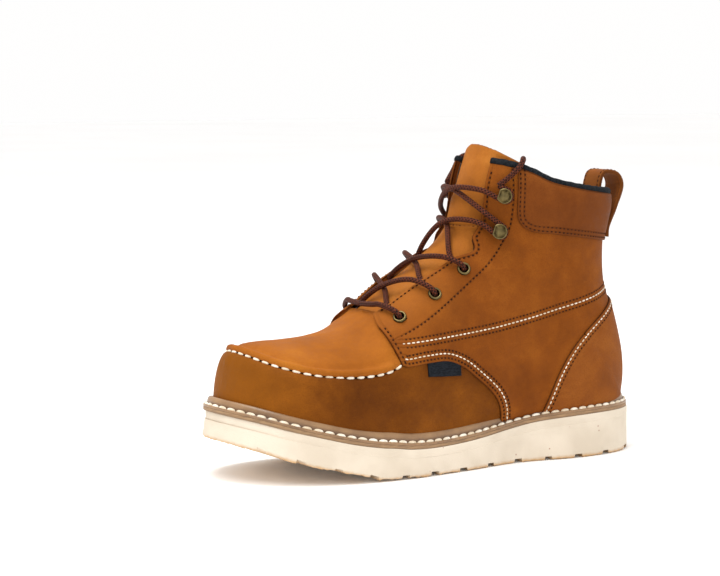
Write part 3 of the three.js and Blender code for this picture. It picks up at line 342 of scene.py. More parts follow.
# %% Edges of the pattern
COLLAR = [(0.05, 0.916), (-0.118, 0.916), (-0.15, 0.904), (-0.187, 0.88), (-0.226, 0.848), (-0.29, 0.823),
          (-0.37, 0.804), (-0.446, 0.793), (-0.56, 0.787)]
QUARTER_LOW = [(0.1475, 0.214), (0.138, 0.208), (0.085, 0.216), (0.033, 0.217), (-0.008, 0.19), (-0.04, 0.15),
               (-0.066, 0.115), (-0.09, 0.075), (-0.105, 0.03), (-0.112, -0.015)]
COUNTER = [(-0.212, -0.06), (-0.222, 0.02), (-0.246, 0.12), (-0.28, 0.21), (-0.32, 0.278), (-0.37, 0.34),
           (-0.42, 0.385), (-0.5, 0.42)]
CUFF_FRONT = [(-0.16, 0.89), (-0.16, 0.72), (-0.164, 0.69), (-0.174, 0.668)]
CUFF_LOW = [(-0.174, 0.668), (-0.19, 0.655), (-0.25, 0.642), (-0.35, 0.618), (-0.43, 0.6), (-0.5, 0.592)]
UPPER_SEAM = [(0.148, 0.281), (0.09, 0.29), (0.036, 0.299), (-0.085, 0.321), (-0.193, 0.352), (-0.298, 0.389),
              (-0.407, 0.43), (-0.5, 0.458)]
FACING_SEAM = [(0.146, 0.297), (0.075, 0.356), (0.013, 0.42), (-0.045, 0.487), (-0.092, 0.545), (-0.128, 0.61),
               (-0.146, 0.67), (-0.151, 0.73), (-0.151, 0.88)]
THROAT_HALF = smooth([6.4, 7, 8, 9.2, 10, 10.6, 11.05, 11.35, 11.6, 12.2, 13.5, 16, 21],
                     np.array([0.14, 0.165, 0.19, 0.2, 0.206, 0.224, 0.229, 0.216, 0.196, 0.186, 0.184, 0.18, 0.185])
                     * BALL_WIDTH)
MOC_SEAM = smooth([1.3, 1.45, 1.75, 2.2, 2.9, 4.2, 5.4, 6.5, 7],
                  [0, 0.14, 0.28, 0.41, 0.51, 0.555, 0.57, 0.55, 0.53])


def reach_for(section, side, distance):
    """Reach at which the surface stands so far from the middle line, near the crest."""
    near, far = np.zeros(np.shape(section)), np.full(np.shape(section), 0.5)
    for _ in range(24):
        reach = (near + far) / 2
        closer = np.abs(surface(section, side * reach)[..., 1] - middle_at(section)) < distance
        near, far = np.where(closer, reach, near), np.where(closer, far, reach)
    return side * near


def collar_z(x):
    line = through([(along * LENGTH, high * SHAFT_HEIGHT + DATUM) for along, high in COLLAR], 200)[::-1]
    return np.interp(x, line[:, 0], line[:, 1])


def throat_edge(side, first=6.4, last=20.5, count=400):
    section = np.linspace(first, last, count)
    return np.stack([section, reach_for(section, side, THROAT_HALF(section))], -1)


def section_up_to(reach, height):
    """Section at which a rib's point at this reach comes to the collar less a height."""
    low, high = np.full(np.shape(reach), 13.0), np.full(np.shape(reach), 21.0)
    for _ in range(24):
        section = (low + high) / 2
        at = surface(section, reach)
        under = at[..., 2] < collar_z(at[..., 0]) - height
        low, high = np.where(under, section, low), np.where(under, high, section)
    return low


def collar_edge(side, height, count=160):
    """The collar's edge from the throat to the back, a height below its top."""
    section = 18.5
    for _ in range(8):
        start = float(abs(reach_for(np.array(section), side, THROAT_HALF(section))))
        section = float(section_up_to(np.array(side * start), height))
    reach = side * np.linspace(start, 1, count)
    return np.stack([section_up_to(reach, height), reach], -1)


def until(line, stop):
    """The line up to its first point past which stop is true."""
    past = np.flatnonzero(stop)
    return line if len(past) == 0 else line[: past[0] + 1]


EYELETS = [(7.2, 0.285), (8.45, 0.3), (9.9, 0.325)]
HOOKS = [(13.8, 0.245), (16.9, 0.26)]
SIDES = {"lateral": 1, "medial": -1}
print("collar corner at", np.round(surface(*collar_edge(1, 0)[0]) / MM, 1))

# %% [markdown]
# ## The lace's ends
# The lace is one round braid. Above the top hooks its two ends go over the collar's binding and down
# inside. Their route is the one that CAD holds.

# %% Tubes along a line
def centripetal(points, step):
    """Dense points on a smooth line through the given ones."""
    points = np.asarray(points, float)
    gaps = np.linalg.norm(np.diff(points, axis=0), axis=1) ** 0.5
    at = np.concatenate([[0], np.cumsum(gaps)])
    fine = np.linspace(0, at[-1], 40 * len(points))
    line = np.stack([smooth(at, points[:, k])(fine) for k in range(3)], -1)
    run = run_of(line)
    where = np.linspace(0, run[-1], max(4, int(run[-1] / step)))
    return np.stack([np.interp(where, run, line[:, k]) for k in range(3)], -1)


def tube(line, radius, sides, flat_ends=True):
    """Vertices, faces and (along, around) of a tube that doesn't twist."""
    way = unit(np.gradient(line, axis=0))
    side = np.cross(way[0], [0, 0, 1.0])
    side = unit(side if np.linalg.norm(side) > 0.1 else np.array([1.0, 0, 0]))
    frames = []
    for w in way:
        side = unit(side - w * (side @ w))
        frames.append((side, np.cross(w, side)))
    radius = np.broadcast_to(radius, len(line))
    angle = np.arange(sides) * 2 * np.pi / sides
    ring = [p + r * (np.cos(angle)[:, None] * a + np.sin(angle)[:, None] * b)
            for p, r, (a, b) in zip(line, radius, frames)]
    verts = np.concatenate(ring)
    n = len(line)
    i, j = np.meshgrid(np.arange(n - 1), np.arange(sides), indexing="ij")
    nxt = (j + 1) % sides
    faces = np.stack([i * sides + j, i * sides + nxt, (i + 1) * sides + nxt, (i + 1) * sides + j], -1).reshape(-1, 4)
    run = run_of(line)
    marks = np.stack([np.repeat(run, sides), np.tile(angle, n)], -1)
    faces = faces.tolist()
    if flat_ends:
        faces += [list(range(sides))[::-1], list(range((n - 1) * sides, n * sides))]
    return verts, faces, marks


# %% [markdown]
# ## From numbers to a mesh
# Points and faces become one named mesh. It rides with the body that CAD made, and it can stand in for CAD nodes.
# Values kept at each point, such as the distance to a cut edge, travel with it for the finishes to read.

# %% Making a piece from numbers
def piece(name, verts, faces, material, replaces=(), marks=None, sharp=None):
    """One named mesh of the boot, riding with the CAD body. marks become attributes that materials read."""
    mesh = bpy.data.meshes.new(name)
    mesh.from_pydata(np.asarray(verts).tolist(), [], faces if isinstance(faces, list) else faces.tolist())
    for key, values in (marks or {}).items():
        layer = mesh.attributes.new(key, "FLOAT", "POINT")
        layer.data.foreach_set("value", np.asarray(values, np.float32))
    mesh.shade_smooth()
    if sharp is not None:
        mesh.set_sharp_from_angle(angle=math.radians(sharp))
    mesh.materials.append(material)
    obj = bpy.data.objects.new(name, mesh)
    bpy.context.scene.collection.objects.link(obj)
    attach(obj, "root")
    if replaces:
        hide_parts(*replaces)
    return obj


def grid_faces(n, m):
    """Quads of a grid of n by m points."""
    i, j = np.meshgrid(np.arange(n - 1), np.arange(m - 1), indexing="ij")
    return np.stack([i * m + j, i * m + j + 1, (i + 1) * m + j + 1, (i + 1) * m + j], -1).reshape(-1, 4)


def joined(parts):
    """Several (verts, faces, marks) as one."""
    verts, faces, marks, base = [], [], [], 0
    for v, f, m in parts:
        verts.append(v)
        faces += [[base + i for i in face] for face in f]
        marks.append(m)
        base += len(v)
    return np.concatenate(verts), faces, np.concatenate(marks)


# %% [markdown]
# ## A small kit for finishes
# A material is a chain of nodes: noise for colour and grain, marks on the mesh for seams and edges, and a
# bump made of all that is too fine to model.

# %% Finish kit
def paint(red, green, blue):
    """A colour as it is read off a screen, turned into linear light."""
    shares = (c / 255 for c in (red, green, blue))
    return tuple(c / 12.92 if c <= 0.04 else ((c + 0.055) / 1.055) ** 2.4 for c in shares) + (1,)


class Finish:
    def __init__(self, name, roughness=0.6, metallic=0.0, **settings):
        self.material = bpy.data.materials.new(name)
        self.material.use_nodes = True
        self.tree = self.material.node_tree
        self.tree.nodes.clear()
        self.shader = self.add("ShaderNodeBsdfPrincipled")
        out = self.add("ShaderNodeOutputMaterial")
        self.tree.links.new(self.shader.outputs[0], out.inputs[0])
        self.shader.inputs["Roughness"].default_value = roughness
        self.shader.inputs["Metallic"].default_value = metallic
        for key, value in settings.items():
            self.shader.inputs[key.replace("_", " ")].default_value = value
        self.place = self.add("ShaderNodeTexCoord").outputs["Object"]

    def add(self, kind, **settings):
        node = self.tree.nodes.new(kind)
        for key, value in settings.items():
            setattr(node, key, value)
        return node

    def feed(self, socket, value):
        if isinstance(value, bpy.types.NodeSocket):
            self.tree.links.new(value, socket)
        else:
            socket.default_value = value

    def noise(self, scale, detail=3, rough=0.55, bend=0, stretch=None):
        node = self.add("ShaderNodeTexNoise")
        self.feed(node.inputs["Vector"], self.stretched(stretch) if stretch else self.place)
        for key, value in (("Scale", scale), ("Detail", detail), ("Roughness", rough), ("Distortion", bend)):
            node.inputs[key].default_value = value
        return node.outputs["Fac"]

    def cells(self, scale, feature="F1"):
        node = self.add("ShaderNodeTexVoronoi", feature=feature)
        self.feed(node.inputs["Vector"], self.place)
        node.inputs["Scale"].default_value = scale
        return node.outputs["Distance"]

    def stretched(self, stretch):
        node = self.add("ShaderNodeMapping")
        self.feed(node.inputs["Vector"], self.place)
        node.inputs["Scale"].default_value = stretch
        return node.outputs[0]

    def mark(self, name):
        return self.add("ShaderNodeAttribute", attribute_name=name).outputs["Fac"]

    def axis(self, which):
        node = self.add("ShaderNodeSeparateXYZ")
        self.feed(node.inputs[0], self.place)
        return node.outputs[which]

    def sum(self, how, a, b=0.0, clamp=False):
        node = self.add("ShaderNodeMath", operation=how, use_clamp=clamp)
        self.feed(node.inputs[0], a)
        self.feed(node.inputs[1], b)
        return node.outputs[0]

    def between(self, value, low, high, start=0.0, end=1.0):
        node = self.add("ShaderNodeMapRange", interpolation_type="SMOOTHSTEP")
        self.feed(node.inputs["Value"], value)
        for key, number in (("From Min", low), ("From Max", high), ("To Min", start), ("To Max", end)):
            self.feed(node.inputs[key], number)
        return node.outputs[0]

    def stops(self, value, *stops):
        node = self.add("ShaderNodeValToRGB")
        ramp = node.color_ramp.elements
        while len(ramp) < len(stops):
            ramp.new(0.5)
        for element, (position, colour) in zip(ramp, stops):
            element.position = position
            element.color = colour
        self.feed(node.inputs[0], value)
        return node.outputs[0]

    def blend(self, share, a, b, how="MIX"):
        node = self.add("ShaderNodeMix", data_type="RGBA", blend_type=how)
        self.feed(node.inputs["Factor"], share)
        self.feed(node.inputs[6], a)
        self.feed(node.inputs[7], b)
        return node.outputs[2]

    def bump(self, height, distance, under=None, strength=1.0):
        node = self.add("ShaderNodeBump")
        node.inputs["Distance"].default_value = distance
        node.inputs["Strength"].default_value = strength
        self.feed(node.inputs["Height"], height)
        if under is not None:
            self.tree.links.new(under, node.inputs["Normal"])
        return node.outputs[0]

    def done(self, colour=None, roughness=None, normal=None):
        if colour is not None:
            self.feed(self.shader.inputs["Base Color"], colour)
        if roughness is not None:
            self.feed(self.shader.inputs["Roughness"], roughness)
        if normal is not None:
            self.tree.links.new(normal, self.shader.inputs["Normal"])
        return self.material


# %% [markdown]
# ## Lace
# A round braid of dark red-brown thread. The tube carries two marks, the way along and the angle around,
# and the bump makes the crossed strands from them; the hollows between the strands are darkened with painted shade.

# %% Braid of the lace
LACE = 3.5 * MM


def lace_finish():
    f = Finish("lace_braid", roughness=0.6, Specular_IOR_Level=0.16)
    along = f.sum("MULTIPLY", f.mark("along"), 2 * math.pi / (2.2 * MM))
    around = f.sum("MULTIPLY", f.mark("around"), 4.0)
    left = f.sum("SINE", f.sum("ADD", along, around))
    right = f.sum("SINE", f.sum("SUBTRACT", along, around))
    ribs = f.sum("MAXIMUM", left, right)
    # Painted shade: where the strands dip, the colour goes almost black.
    tone = f.between(ribs, -0.4, 1.0)
    fuzz = f.noise(900, 2)
    colour = f.blend(f.between(fuzz, 0.3, 0.7), paint(78, 34, 19), paint(114, 56, 33))
    colour = f.blend(tone, paint(26, 10, 6), colour)
    normal = f.bump(ribs, 0.45 * MM)
    return f.done(colour, normal=f.bump(fuzz, 0.08 * MM, under=normal))


LACE_FINISH = lace_finish()
LACE_END = [(-35.4, 30.8, 179.3), (-39.4, 33.4, 182.9), (-43.5, 35.6, 187), (-47.3, 37.5, 191.5),
            (-50.3, 36.6, 195.1), (-52.8, 33, 196.2), (-54.2, 29.8, 193.3), (-53.4, 29.3, 189.2), (-52, 28.9, 184.6)]


def lace_end(name, side):
    line = centripetal([(x * MM, side * y * MM, z * MM) for x, y, z in LACE_END], 0.8 * MM)
    verts, faces, marks = tube(line, LACE / 2, 16)
    end = piece("lace_end_" + name, verts, faces, LACE_FINISH, ["lace_end_" + name],
                {"along": marks[:, 0], "around": marks[:, 1]})
    length = float(np.linalg.norm(np.diff(line, axis=0), axis=1).sum())
    print(end.name, "is", round(length / MM, 1), "mm long")


for name, side in SIDES.items():
    lace_end(name, side)


# %% [markdown]
# ## Panels of leather
# A panel is cut from a hide and lies on the last, so it is a grid between four edges drawn on the last.
# Close to a cut edge the grid gets finer and rolls over, since a skived edge is round, and its outermost
# row tucks under. Each point keeps its distance from the edge as a mark, for a darker edge and for seams.

# %% Panel builder
EDGE_ROWS = np.array([0, 0.03, 0.12, 0.3, 0.55, 0.9, 1.4, 2.2]) * MM


def grid_shares(length, step, start, end):
    near = EDGE_ROWS if start else EDGE_ROWS[:1]
    far = EDGE_ROWS if end else EDGE_ROWS[:1]
    count = max(2, int((length - near[-1] - far[-1]) / step))
    middle = np.linspace(near[-1], length - far[-1], count + 1)[1:-1]
    return np.concatenate([near, middle, length - far[::-1]]) / length


def away_from(points, line):
    """Distance of points from a line of points."""
    start, way = line[:-1], np.diff(line, axis=0)
    long = np.maximum((way * way).sum(1), 1e-12)
    out = np.empty(len(points))
    for i in range(0, len(points), 1500):
        gap = points[i:i + 1500, None] - start[None]
        t = np.clip((gap * way).sum(-1) / long, 0, 1)
        out[i:i + 1500] = np.linalg.norm(gap - t[..., None] * way, axis=-1).min(1)
    return out


def coons(bottom, top, left, right, across, up):
    """Grid between four lines in section and reach."""
    b, t = part_of(bottom, across), part_of(top, across)
    l, r = part_of(left, up), part_of(right, up)
    u, v = across[:, None, None], up[None, :, None]
    corners = ((1 - u) * (1 - v) * b[0] + u * (1 - v) * b[-1] + (1 - u) * v * t[0] + u * v * t[-1])
    return (1 - v) * b[:, None] + v * t[:, None] + (1 - u) * l[None] + u * r[None] - corners


def rolled(distance, roll):
    """How much lower a rolled edge is than the panel, by distance from the edge."""
    d = np.clip(distance, 0, roll)
    return roll - np.sqrt(np.maximum(roll**2 - (roll - d) ** 2, 0))


def panel(bottom, top, left, right, over, under, cut="btlr", step=2.2 * MM, roll=0.9 * MM):
    """Vertices, faces and marks of a panel whose edges named in cut are cut ones."""
    across = grid_shares((lengths(bottom)[-1] + lengths(top)[-1]) / 2, step, "l" in cut, "r" in cut)
    up = grid_shares((lengths(left)[-1] + lengths(right)[-1]) / 2, step, "b" in cut, "t" in cut)
    at = coons(bottom, top, left, right, across, up)
    n, m = at.shape[:2]
    flat = at.reshape(-1, 2)
    place = surface(flat[:, 0], flat[:, 1])
    gap = np.full(len(flat), 1.0)
    for key, line in (("b", bottom), ("t", top), ("l", left), ("r", right)):
        if key in cut:
            gap = np.minimum(gap, away_from(place, surface(line[:, 0], line[:, 1])))
    height = (over(flat[:, 0], flat[:, 1], place) if callable(over) else np.full(len(flat), over))
    height = height - rolled(gap, roll)
    verts = lifted(flat[:, 0], flat[:, 1], height)
    faces = grid_faces(n, m)[:, [0, 3, 2, 1]]
    number = np.arange(n * m).reshape(n, m)
    extra, gaps, ats = [], [gap], [flat]
    base = len(verts)
    for key, ids in (("b", number[:, 0]), ("t", number[:, -1]), ("l", number[0]), ("r", number[-1])):
        if key not in cut:
            continue
        low = under(flat[ids, 0], flat[ids, 1], place[ids]) if callable(under) else np.full(len(ids), under)
        extra.append(lifted(flat[ids, 0], flat[ids, 1], low))
        gaps.append(np.full(len(ids), -0.2 * MM))
        ats.append(flat[ids])
        k = np.arange(len(ids) - 1)
        wall = np.stack([ids[:-1], base + k, base + k + 1, ids[1:]], -1)
        faces = np.concatenate([faces, wall if key in "tl" else wall[:, ::-1]])
        base += len(ids)
    verts = np.concatenate([verts] + extra)
    gap = np.concatenate(gaps)
    f = faces[len(faces) // 3]
    facing = np.cross(verts[f[1]] - verts[f[0]], verts[f[3]] - verts[f[0]])
    if facing @ surface_normal(*flat[f[0]]) < 0:
        faces = faces[:, ::-1]
    return verts, faces, gap, np.concatenate(ats)


def signed_from(points, at, line):
    """Distance of points from a line, below zero on the left of its way."""
    start, way = line[:-1], np.diff(line, axis=0)
    long = np.maximum((way * way).sum(1), 1e-12)
    normal = surface_normal(at[:, 0], at[:, 1])
    out = np.empty(len(points))
    for i in range(0, len(points), 1500):
        gap = points[i:i + 1500, None] - start[None]
        t = np.clip((gap * way).sum(-1) / long, 0, 1)
        rest = gap - t[..., None] * way
        near = np.linalg.norm(rest, axis=-1)
        best = near.argmin(1)
        k = np.arange(len(best))
        aside = np.cross(normal[i:i + 1500], way[best])
        out[i:i + 1500] = near[k, best] * -np.sign((rest[k, best] * aside).sum(1))
    return out


def weld(obj, distance=0.02 * MM):
    """Join the halves of a piece where they meet."""
    import bmesh
    mesh = bmesh.new()
    mesh.from_mesh(obj.data)
    bmesh.ops.remove_doubles(mesh, verts=mesh.verts, dist=distance)
    mesh.to_mesh(obj.data)
    mesh.free()


def without(verts, faces, place, radius):
    """Faces that keep clear of a place, for a punched hole."""
    centre = verts[faces].mean(1)
    return faces[np.linalg.norm(centre - place, axis=1) > radius]


# %% [markdown]
# ## Creases
# Leather on a new boot is never quite flat. Soft troughs and ridges are laid where the ankle and the
# vamp bend, as lines in the side view with a width and a depth.

# %% Creases
CREASES = {
    "lateral": [
        # points along and high as shares, width mm, depth mm (negative is a trough)
        ([(-0.16, 0.60), (-0.21, 0.56), (-0.27, 0.53)], 7, -0.9),
        ([(-0.15, 0.55), (-0.21, 0.505), (-0.26, 0.49)], 6, 0.6),
        ([(-0.1, 0.46), (-0.17, 0.44), (-0.25, 0.455), (-0.33, 0.50)], 8, -0.8),
        ([(-0.31, 0.56), (-0.36, 0.5), (-0.39, 0.43)], 8, -0.8),
        ([(-0.25, 0.38), (-0.2, 0.28), (-0.16, 0.17)], 9, -0.7),
        ([(-0.12, 0.27), (-0.09, 0.2)], 8, 0.5),
        ([(0.02, 0.33), (0.06, 0.42), (0.04, 0.5)], 7, 0.5),
        ([(0.24, 0.2), (0.2, 0.11), (0.185, 0.04)], 8, -0.6),
        ([(0.3, 0.17), (0.29, 0.09)], 9, 0.4),
    ],
    "medial": [
        ([(-0.15, 0.61), (-0.21, 0.55), (-0.28, 0.53)], 7, -0.9),
        ([(-0.1, 0.5), (-0.17, 0.46), (-0.26, 0.46)], 7, 0.6),
        ([(-0.08, 0.42), (-0.16, 0.39), (-0.26, 0.41), (-0.34, 0.47)], 8, -0.9),
        ([(-0.29, 0.57), (-0.35, 0.5), (-0.38, 0.42)], 8, -0.7),
        ([(-0.18, 0.3), (-0.11, 0.2), (-0.06, 0.16)], 9, -0.6),
        ([(0.23, 0.19), (0.2, 0.1), (0.19, 0.04)], 8, -0.6),
    ],
}
CREASE_LINES = {
    side: [(through([(x * LENGTH, z * SHAFT_HEIGHT + DATUM) for x, z in points], 14), width * MM, depth * MM)
           for points, width, depth in rows]
    for side, rows in CREASES.items()
}


def crease(place, reach):
    """Height of the creases at places of the last."""
    total = np.zeros(len(place))
    flat = place[:, [0, 2]]
    for side, sign in SIDES.items():
        here = (reach * sign) > 0
        for line, width, depth in CREASE_LINES[side]:
            gap = away_from(flat[here], line)
            total[here] += depth * np.exp(-((gap / width) ** 2))
    return total * np.clip((np.abs(reach) - 0.3) / 0.15, 0, 1)


def on_skin(section, reach, height):
    """A point so far over the creased skin of the boot."""
    section, reach = np.broadcast_arrays(np.asarray(section, float), np.asarray(reach, float))
    shape = section.shape
    section, reach = section.ravel(), reach.ravel()
    place = surface(section, reach)
    lift = np.broadcast_to(np.asarray(height, float), shape).ravel() + crease(place, reach)
    return lifted(section, reach, lift).reshape(shape + (3,))


# %% [markdown]
# ## Stitches
# A stitch is a short bowed piece of thread whose ends go down into the leather. A row is one mesh: the same
# small capsule put along a line at the thread's pitch.

# %% Stitch rows
def spaced(length, pitch):
    """Middles of the stitches that fill a length, at very nearly the pitch."""
    count = max(1, round(length / pitch))
    return (0.5 + np.arange(count)) * length / count


def stitches(line, pitch, long, wide, height, bow=0.25, sides=6, rings=5, lean=0.0, tall=None):
    """Capsules along a line of section and reach; height is that of the skin they sit on."""
    run = lengths(line)
    centre = spaced(run[-1], pitch)
    way = []
    for shift in (-long / 2, 0, long / 2):
        at = read_at(centre + shift, run, line)
        way.append(on_skin(at[:, 0], at[:, 1], height))
    a, c, b = way
    middle = read_at(centre, run, line)
    normal = surface_normal(middle[:, 0], middle[:, 1])
    along = unit(b - a)
    side = unit(np.cross(normal, along))
    along = unit(along + side * lean)
    side = unit(np.cross(normal, along))
    normal = np.cross(along, side)
    return capsules(c, along, side, normal, long, wide, bow, sides, rings, tall)


def capsules(centre, along, side, normal, long, wide, bow=0.25, sides=6, rings=5, tall=None):
    tall = wide if tall is None else tall
    t = np.linspace(-1, 1, rings)
    angle = np.arange(sides) * 2 * np.pi / sides
    girth = np.sqrt(np.maximum(1 - t**4, 0.02))
    T, A = np.meshgrid(t, angle, indexing="ij")
    G = np.repeat(girth[:, None], sides, 1)
    x, y = T.ravel() * long / 2, (np.cos(A) * G).ravel() * wide / 2
    z = (np.sin(A) * G).ravel() * tall / 2 + (1 - T.ravel() ** 2) * bow * tall - 0.15 * tall
    verts = (centre[:, None] + along[:, None] * x[None, :, None] + side[:, None] * y[None, :, None]
             + normal[:, None] * z[None, :, None])
    i, j = np.meshgrid(np.arange(rings - 1), np.arange(sides), indexing="ij")
    nxt = (j + 1) % sides
    face = np.stack([i * sides + j, i * sides + nxt, (i + 1) * sides + nxt, (i + 1) * sides + j], -1).reshape(-1, 4)
    size = rings * sides
    faces = (face[None] + (np.arange(len(centre)) * size)[:, None, None]).reshape(-1, 4)
    return verts.reshape(-1, 3), faces, np.repeat(np.arange(len(centre)) * 1.0, size)


def thread(name, rows, material):
    verts, faces, marks = joined([(v, f.tolist(), m) for v, f, m in rows])
    made = piece(name, verts, faces, material, marks={"stitch": marks})
    print(name, len(faces), "faces")
    return made


def thread_finish(name, dark, light, roughness=0.6):
    """Waxed thread, with the twist of its plies as bump; it also colours the dark needle holes, which are painted
    shade.
    """
    f = Finish(name, roughness=roughness, Specular_IOR_Level=0.12)
    fine = f.noise(1600, 2)
    spot = f.noise(140, 2)
    colour = f.blend(f.between(spot, 0.35, 0.7), dark, light)
    return f.done(colour, normal=f.bump(fine, 0.12 * MM))


WHITE_THREAD = thread_finish("white_thread", paint(214, 196, 168), paint(247, 240, 226))
BROWN_THREAD = thread_finish("brown_thread", paint(40, 16, 5), paint(66, 31, 11), 0.8)
print("creases laid:", {side: len(rows) for side, rows in CREASES.items()})

# %% [markdown]
# ## Leather
# Oiled nubuck: a matt golden brown that darkens in the pores, along cut edges and where it was handled, and
# goes paler where it was pulled over the last. One recipe serves all panels, each with its own tones: the
# vamp's are set darker with painted shade, and the plug's lighter, partly with painted light. The sunk seam
# lines are darkened with painted shade.

# %% Leather recipe
# edge is the colour of the darker cut edges, and also of the painted shade along the sunk seam lines.
def leather(name, deep, middle, light, edge=paint(70, 36, 14), roughness=0.62, seams=(), sheen=0.02, pull=None):
    """seams are (mark, distance in mm) pairs at which a thread is sunk."""
    f = Finish(name, Specular_IOR_Level=0.05, Sheen_Weight=sheen, Sheen_Roughness=0.5, Sheen_Tint=(1, 0.7, 0.4, 1))
    cloud = f.noise(17, 4, 0.6, 0.4)
    blotch = f.noise(75, 4, 0.65)
    pores = f.cells(2300)
    grain = f.noise(1500, 4, 0.65)
    colour = f.stops(f.sum("ADD", f.sum("MULTIPLY", cloud, 0.75), f.sum("MULTIPLY", blotch, 0.3)),
                     (0.3, deep), (0.52, middle), (0.76, light))
    colour = f.blend(f.between(grain, 0.45, 0.7, 0, 0.45), colour, deep)
    streak = f.noise(60, 3, 0.6, 1.2, stretch=(1, 1, 4))
    colour = f.blend(f.between(streak, 0.6, 0.78, 0, 0.22), colour, light)
    gap = f.mark("edge")
    # Darker along the cut edges, within 0.8 mm of them.
    edge_darker = f.between(gap, 0.0 * MM, 0.8 * MM, 0.6, 0.0)
    colour = f.blend(edge_darker, colour, edge)
    normal = f.bump(f.sum("ADD", f.sum("MULTIPLY", pores, 0.5), grain), 0.16 * MM)
    normal = f.bump(f.noise(210, 3), 0.22 * MM, under=normal)
    if seams:
        sunk = 0.0
        for mark, place in seams:
            near = f.sum("ABSOLUTE", f.sum("SUBTRACT", f.mark(mark), place * MM))
            sunk = f.sum("MAXIMUM", sunk, f.between(near, 0.15 * MM, 1.0 * MM, 1.0, 0.0))
        # Painted shade: the leather is darkened a little along the sunk seam lines, as well as bumped there.
        colour = f.blend(f.sum("MULTIPLY", sunk, 0.16), colour, edge)
        normal = f.bump(f.sum("SUBTRACT", 1.0, sunk), 0.35 * MM, under=normal)
    if pull:
        colour = f.blend(f.mark("pull"), colour, pull)
    rough = f.between(blotch, 0.3, 0.7, roughness - 0.07, roughness + 0.1)
    return f.done(colour, rough, normal)


# %% [markdown]
# ## The wedge
# One piece of cream foam rubber, cut out with a slightly rough edge. Zigzag grooves cross its tread and show
# as ragged notches along the lower edge. It is lofted from rings round the sole, and the grooves are cut.

# %% Outsole
ROUND = 420
TURNS = -1 + 2 * np.arange(ROUND) / ROUND


def toe_flare(x):
    t = np.clip((x - 0.3 * LENGTH) / (0.2 * LENGTH), 0, 1)
    return TOE_FLARE * t * t * (3 - 2 * t)


def loop(distance, height):
    x = outline(TURNS)[:, 0]
    p = inset(TURNS, distance(x) if callable(distance) else np.full(ROUND, distance))
    z = height(p[:, 0])
    return np.concatenate([p, z[:, None]], 1)


def ring_faces(rings, count):
    i, k = np.meshgrid(np.arange(rings - 1), np.arange(count), indexing="ij")
    nxt = (k + 1) % count
    return np.stack([i * count + k, i * count + nxt, (i + 1) * count + nxt, (i + 1) * count + k], -1).reshape(-1, 4)


def across_cap(ring, base_ids, across=14):
    """A grid that closes a ring, with rungs from one side to the other."""
    half = ROUND // 2
    verts, ids = [], np.empty((half + 1, across + 1), int)
    count = 0
    for k in range(half + 1):
        other = (ROUND - k) % ROUND
        ids[k, 0], ids[k, -1] = base_ids[k], base_ids[other]
        for j in range(1, across):
            if k in (0, half):
                ids[k, j] = base_ids[k]
            else:
                verts.append(ring[k] + (ring[other] - ring[k]) * j / across)
                ids[k, j] = -1 - count
                count += 1
    return verts, ids


def closed_loft(rings):
    verts = np.concatenate(rings)
    faces = ring_faces(len(rings), ROUND).tolist()
    for ring, start, flip in ((rings[0], 0, True), (rings[-1], (len(rings) - 1) * ROUND, False)):
        more, ids = across_cap(ring, start + np.arange(ROUND))
        base = len(verts)
        ids = np.where(ids < 0, base - 1 - ids, ids)
        verts = np.concatenate([verts, more])
        for k in range(ids.shape[0] - 1):
            for j in range(ids.shape[1] - 1):
                face = list(dict.fromkeys([ids[k, j], ids[k + 1, j], ids[k + 1, j + 1], ids[k, j + 1]]))
                if len(face) > 2:
                    faces.append([int(x) for x in (face if not flip else face[::-1])])
    return verts, faces


def side_height(share, more=0.0):
    return lambda x: lift_at(x) + thick_at(x) * share + more


def outsole_form():
    fine = [(0, 0.95, 0.0), (0, 0.45, 0.25), (0, 0.12, 0.65), (0, 0.0, 1.3), (0, 0.0, 2.6), (0.3, 0.0, 0), (0.5, 0, 0),
            (0.7, 0.03, 0), (1, 0.03, -5.6), (1, 0.15, -5.35), (1, 0.15, -5.15), (1, 0.02, -4.9), (1, 0.0, -2.6),
            (1, 0.0, -0.9), (1, 0.1, -0.3), (1, 0.35, 0.0)]
    rings = []
    rng = np.random.default_rng(11)
    crumbs = 0.55 * np.repeat(rng.uniform(0, 1, ROUND // 2 + 1), 2)[:ROUND] + 0.45 * rng.uniform(0, 1, ROUND)
    x = outline(TURNS)[:, 0]
    tooth = crumbs * (0.5 + 1.7 * np.clip((x + 0.02) / 0.09, 0, 1)) * MM
    for row, (share, inward, more) in enumerate(fine):
        ring = loop(lambda x, i=inward, s=share: i * MM + toe_flare(x) * s, side_height(share, more * MM))
        ring[:, 2] += tooth * (1, 1, 1, 0.8, 0.3, 0)[min(row, 5)]
        rings.append(ring)
    return closed_loft(rings)


def groove(x, zigs=5, wide=8.2, deep=2.8):
    rng = np.random.default_rng(int((x + 1) * 1e5))
    reach = BALL_WIDTH * 0.6
    y = np.linspace(-reach, reach, zigs * 6 + 1)
    zig = (2 * np.abs((y / reach * zigs / 2 + 50) % 2 - 1) - 1) * 2.5 * MM
    ragged = rng.uniform(-0.8, 0.8, (2, len(y))) * MM
    front, back = x + zig + wide / 2 * MM + ragged[0], x + zig - wide / 2 * MM + ragged[1]
    lift = lift_at(x)
    slope = (lift_at(x + wide * MM) - lift_at(x - wide * MM)) / (2 * wide * MM)
    low = np.full(len(y), lift - 4 * MM)
    roof = lift + deep * MM + rng.uniform(-0.5, 0.5, len(y)) * MM
    rim = []
    for px, pz, shrink in ((front, low, 0), (front, roof, -1.5), (back, roof, 1.5), (back, low, 0)):
        rim.append(np.stack([px + shrink * MM, y, pz + (px - x) * slope], -1))
    verts = np.concatenate(rim)
    n = len(y)
    faces = []
    for a in range(4):
        b = (a + 1) % 4
        for k in range(n - 1):
            faces.append([a * n + k, a * n + k + 1, b * n + k + 1, b * n + k])
    faces += [[0, n, 2 * n, 3 * n], [n - 1, 4 * n - 1, 3 * n - 1, 2 * n - 1]]
    return verts, faces, np.zeros(len(verts))


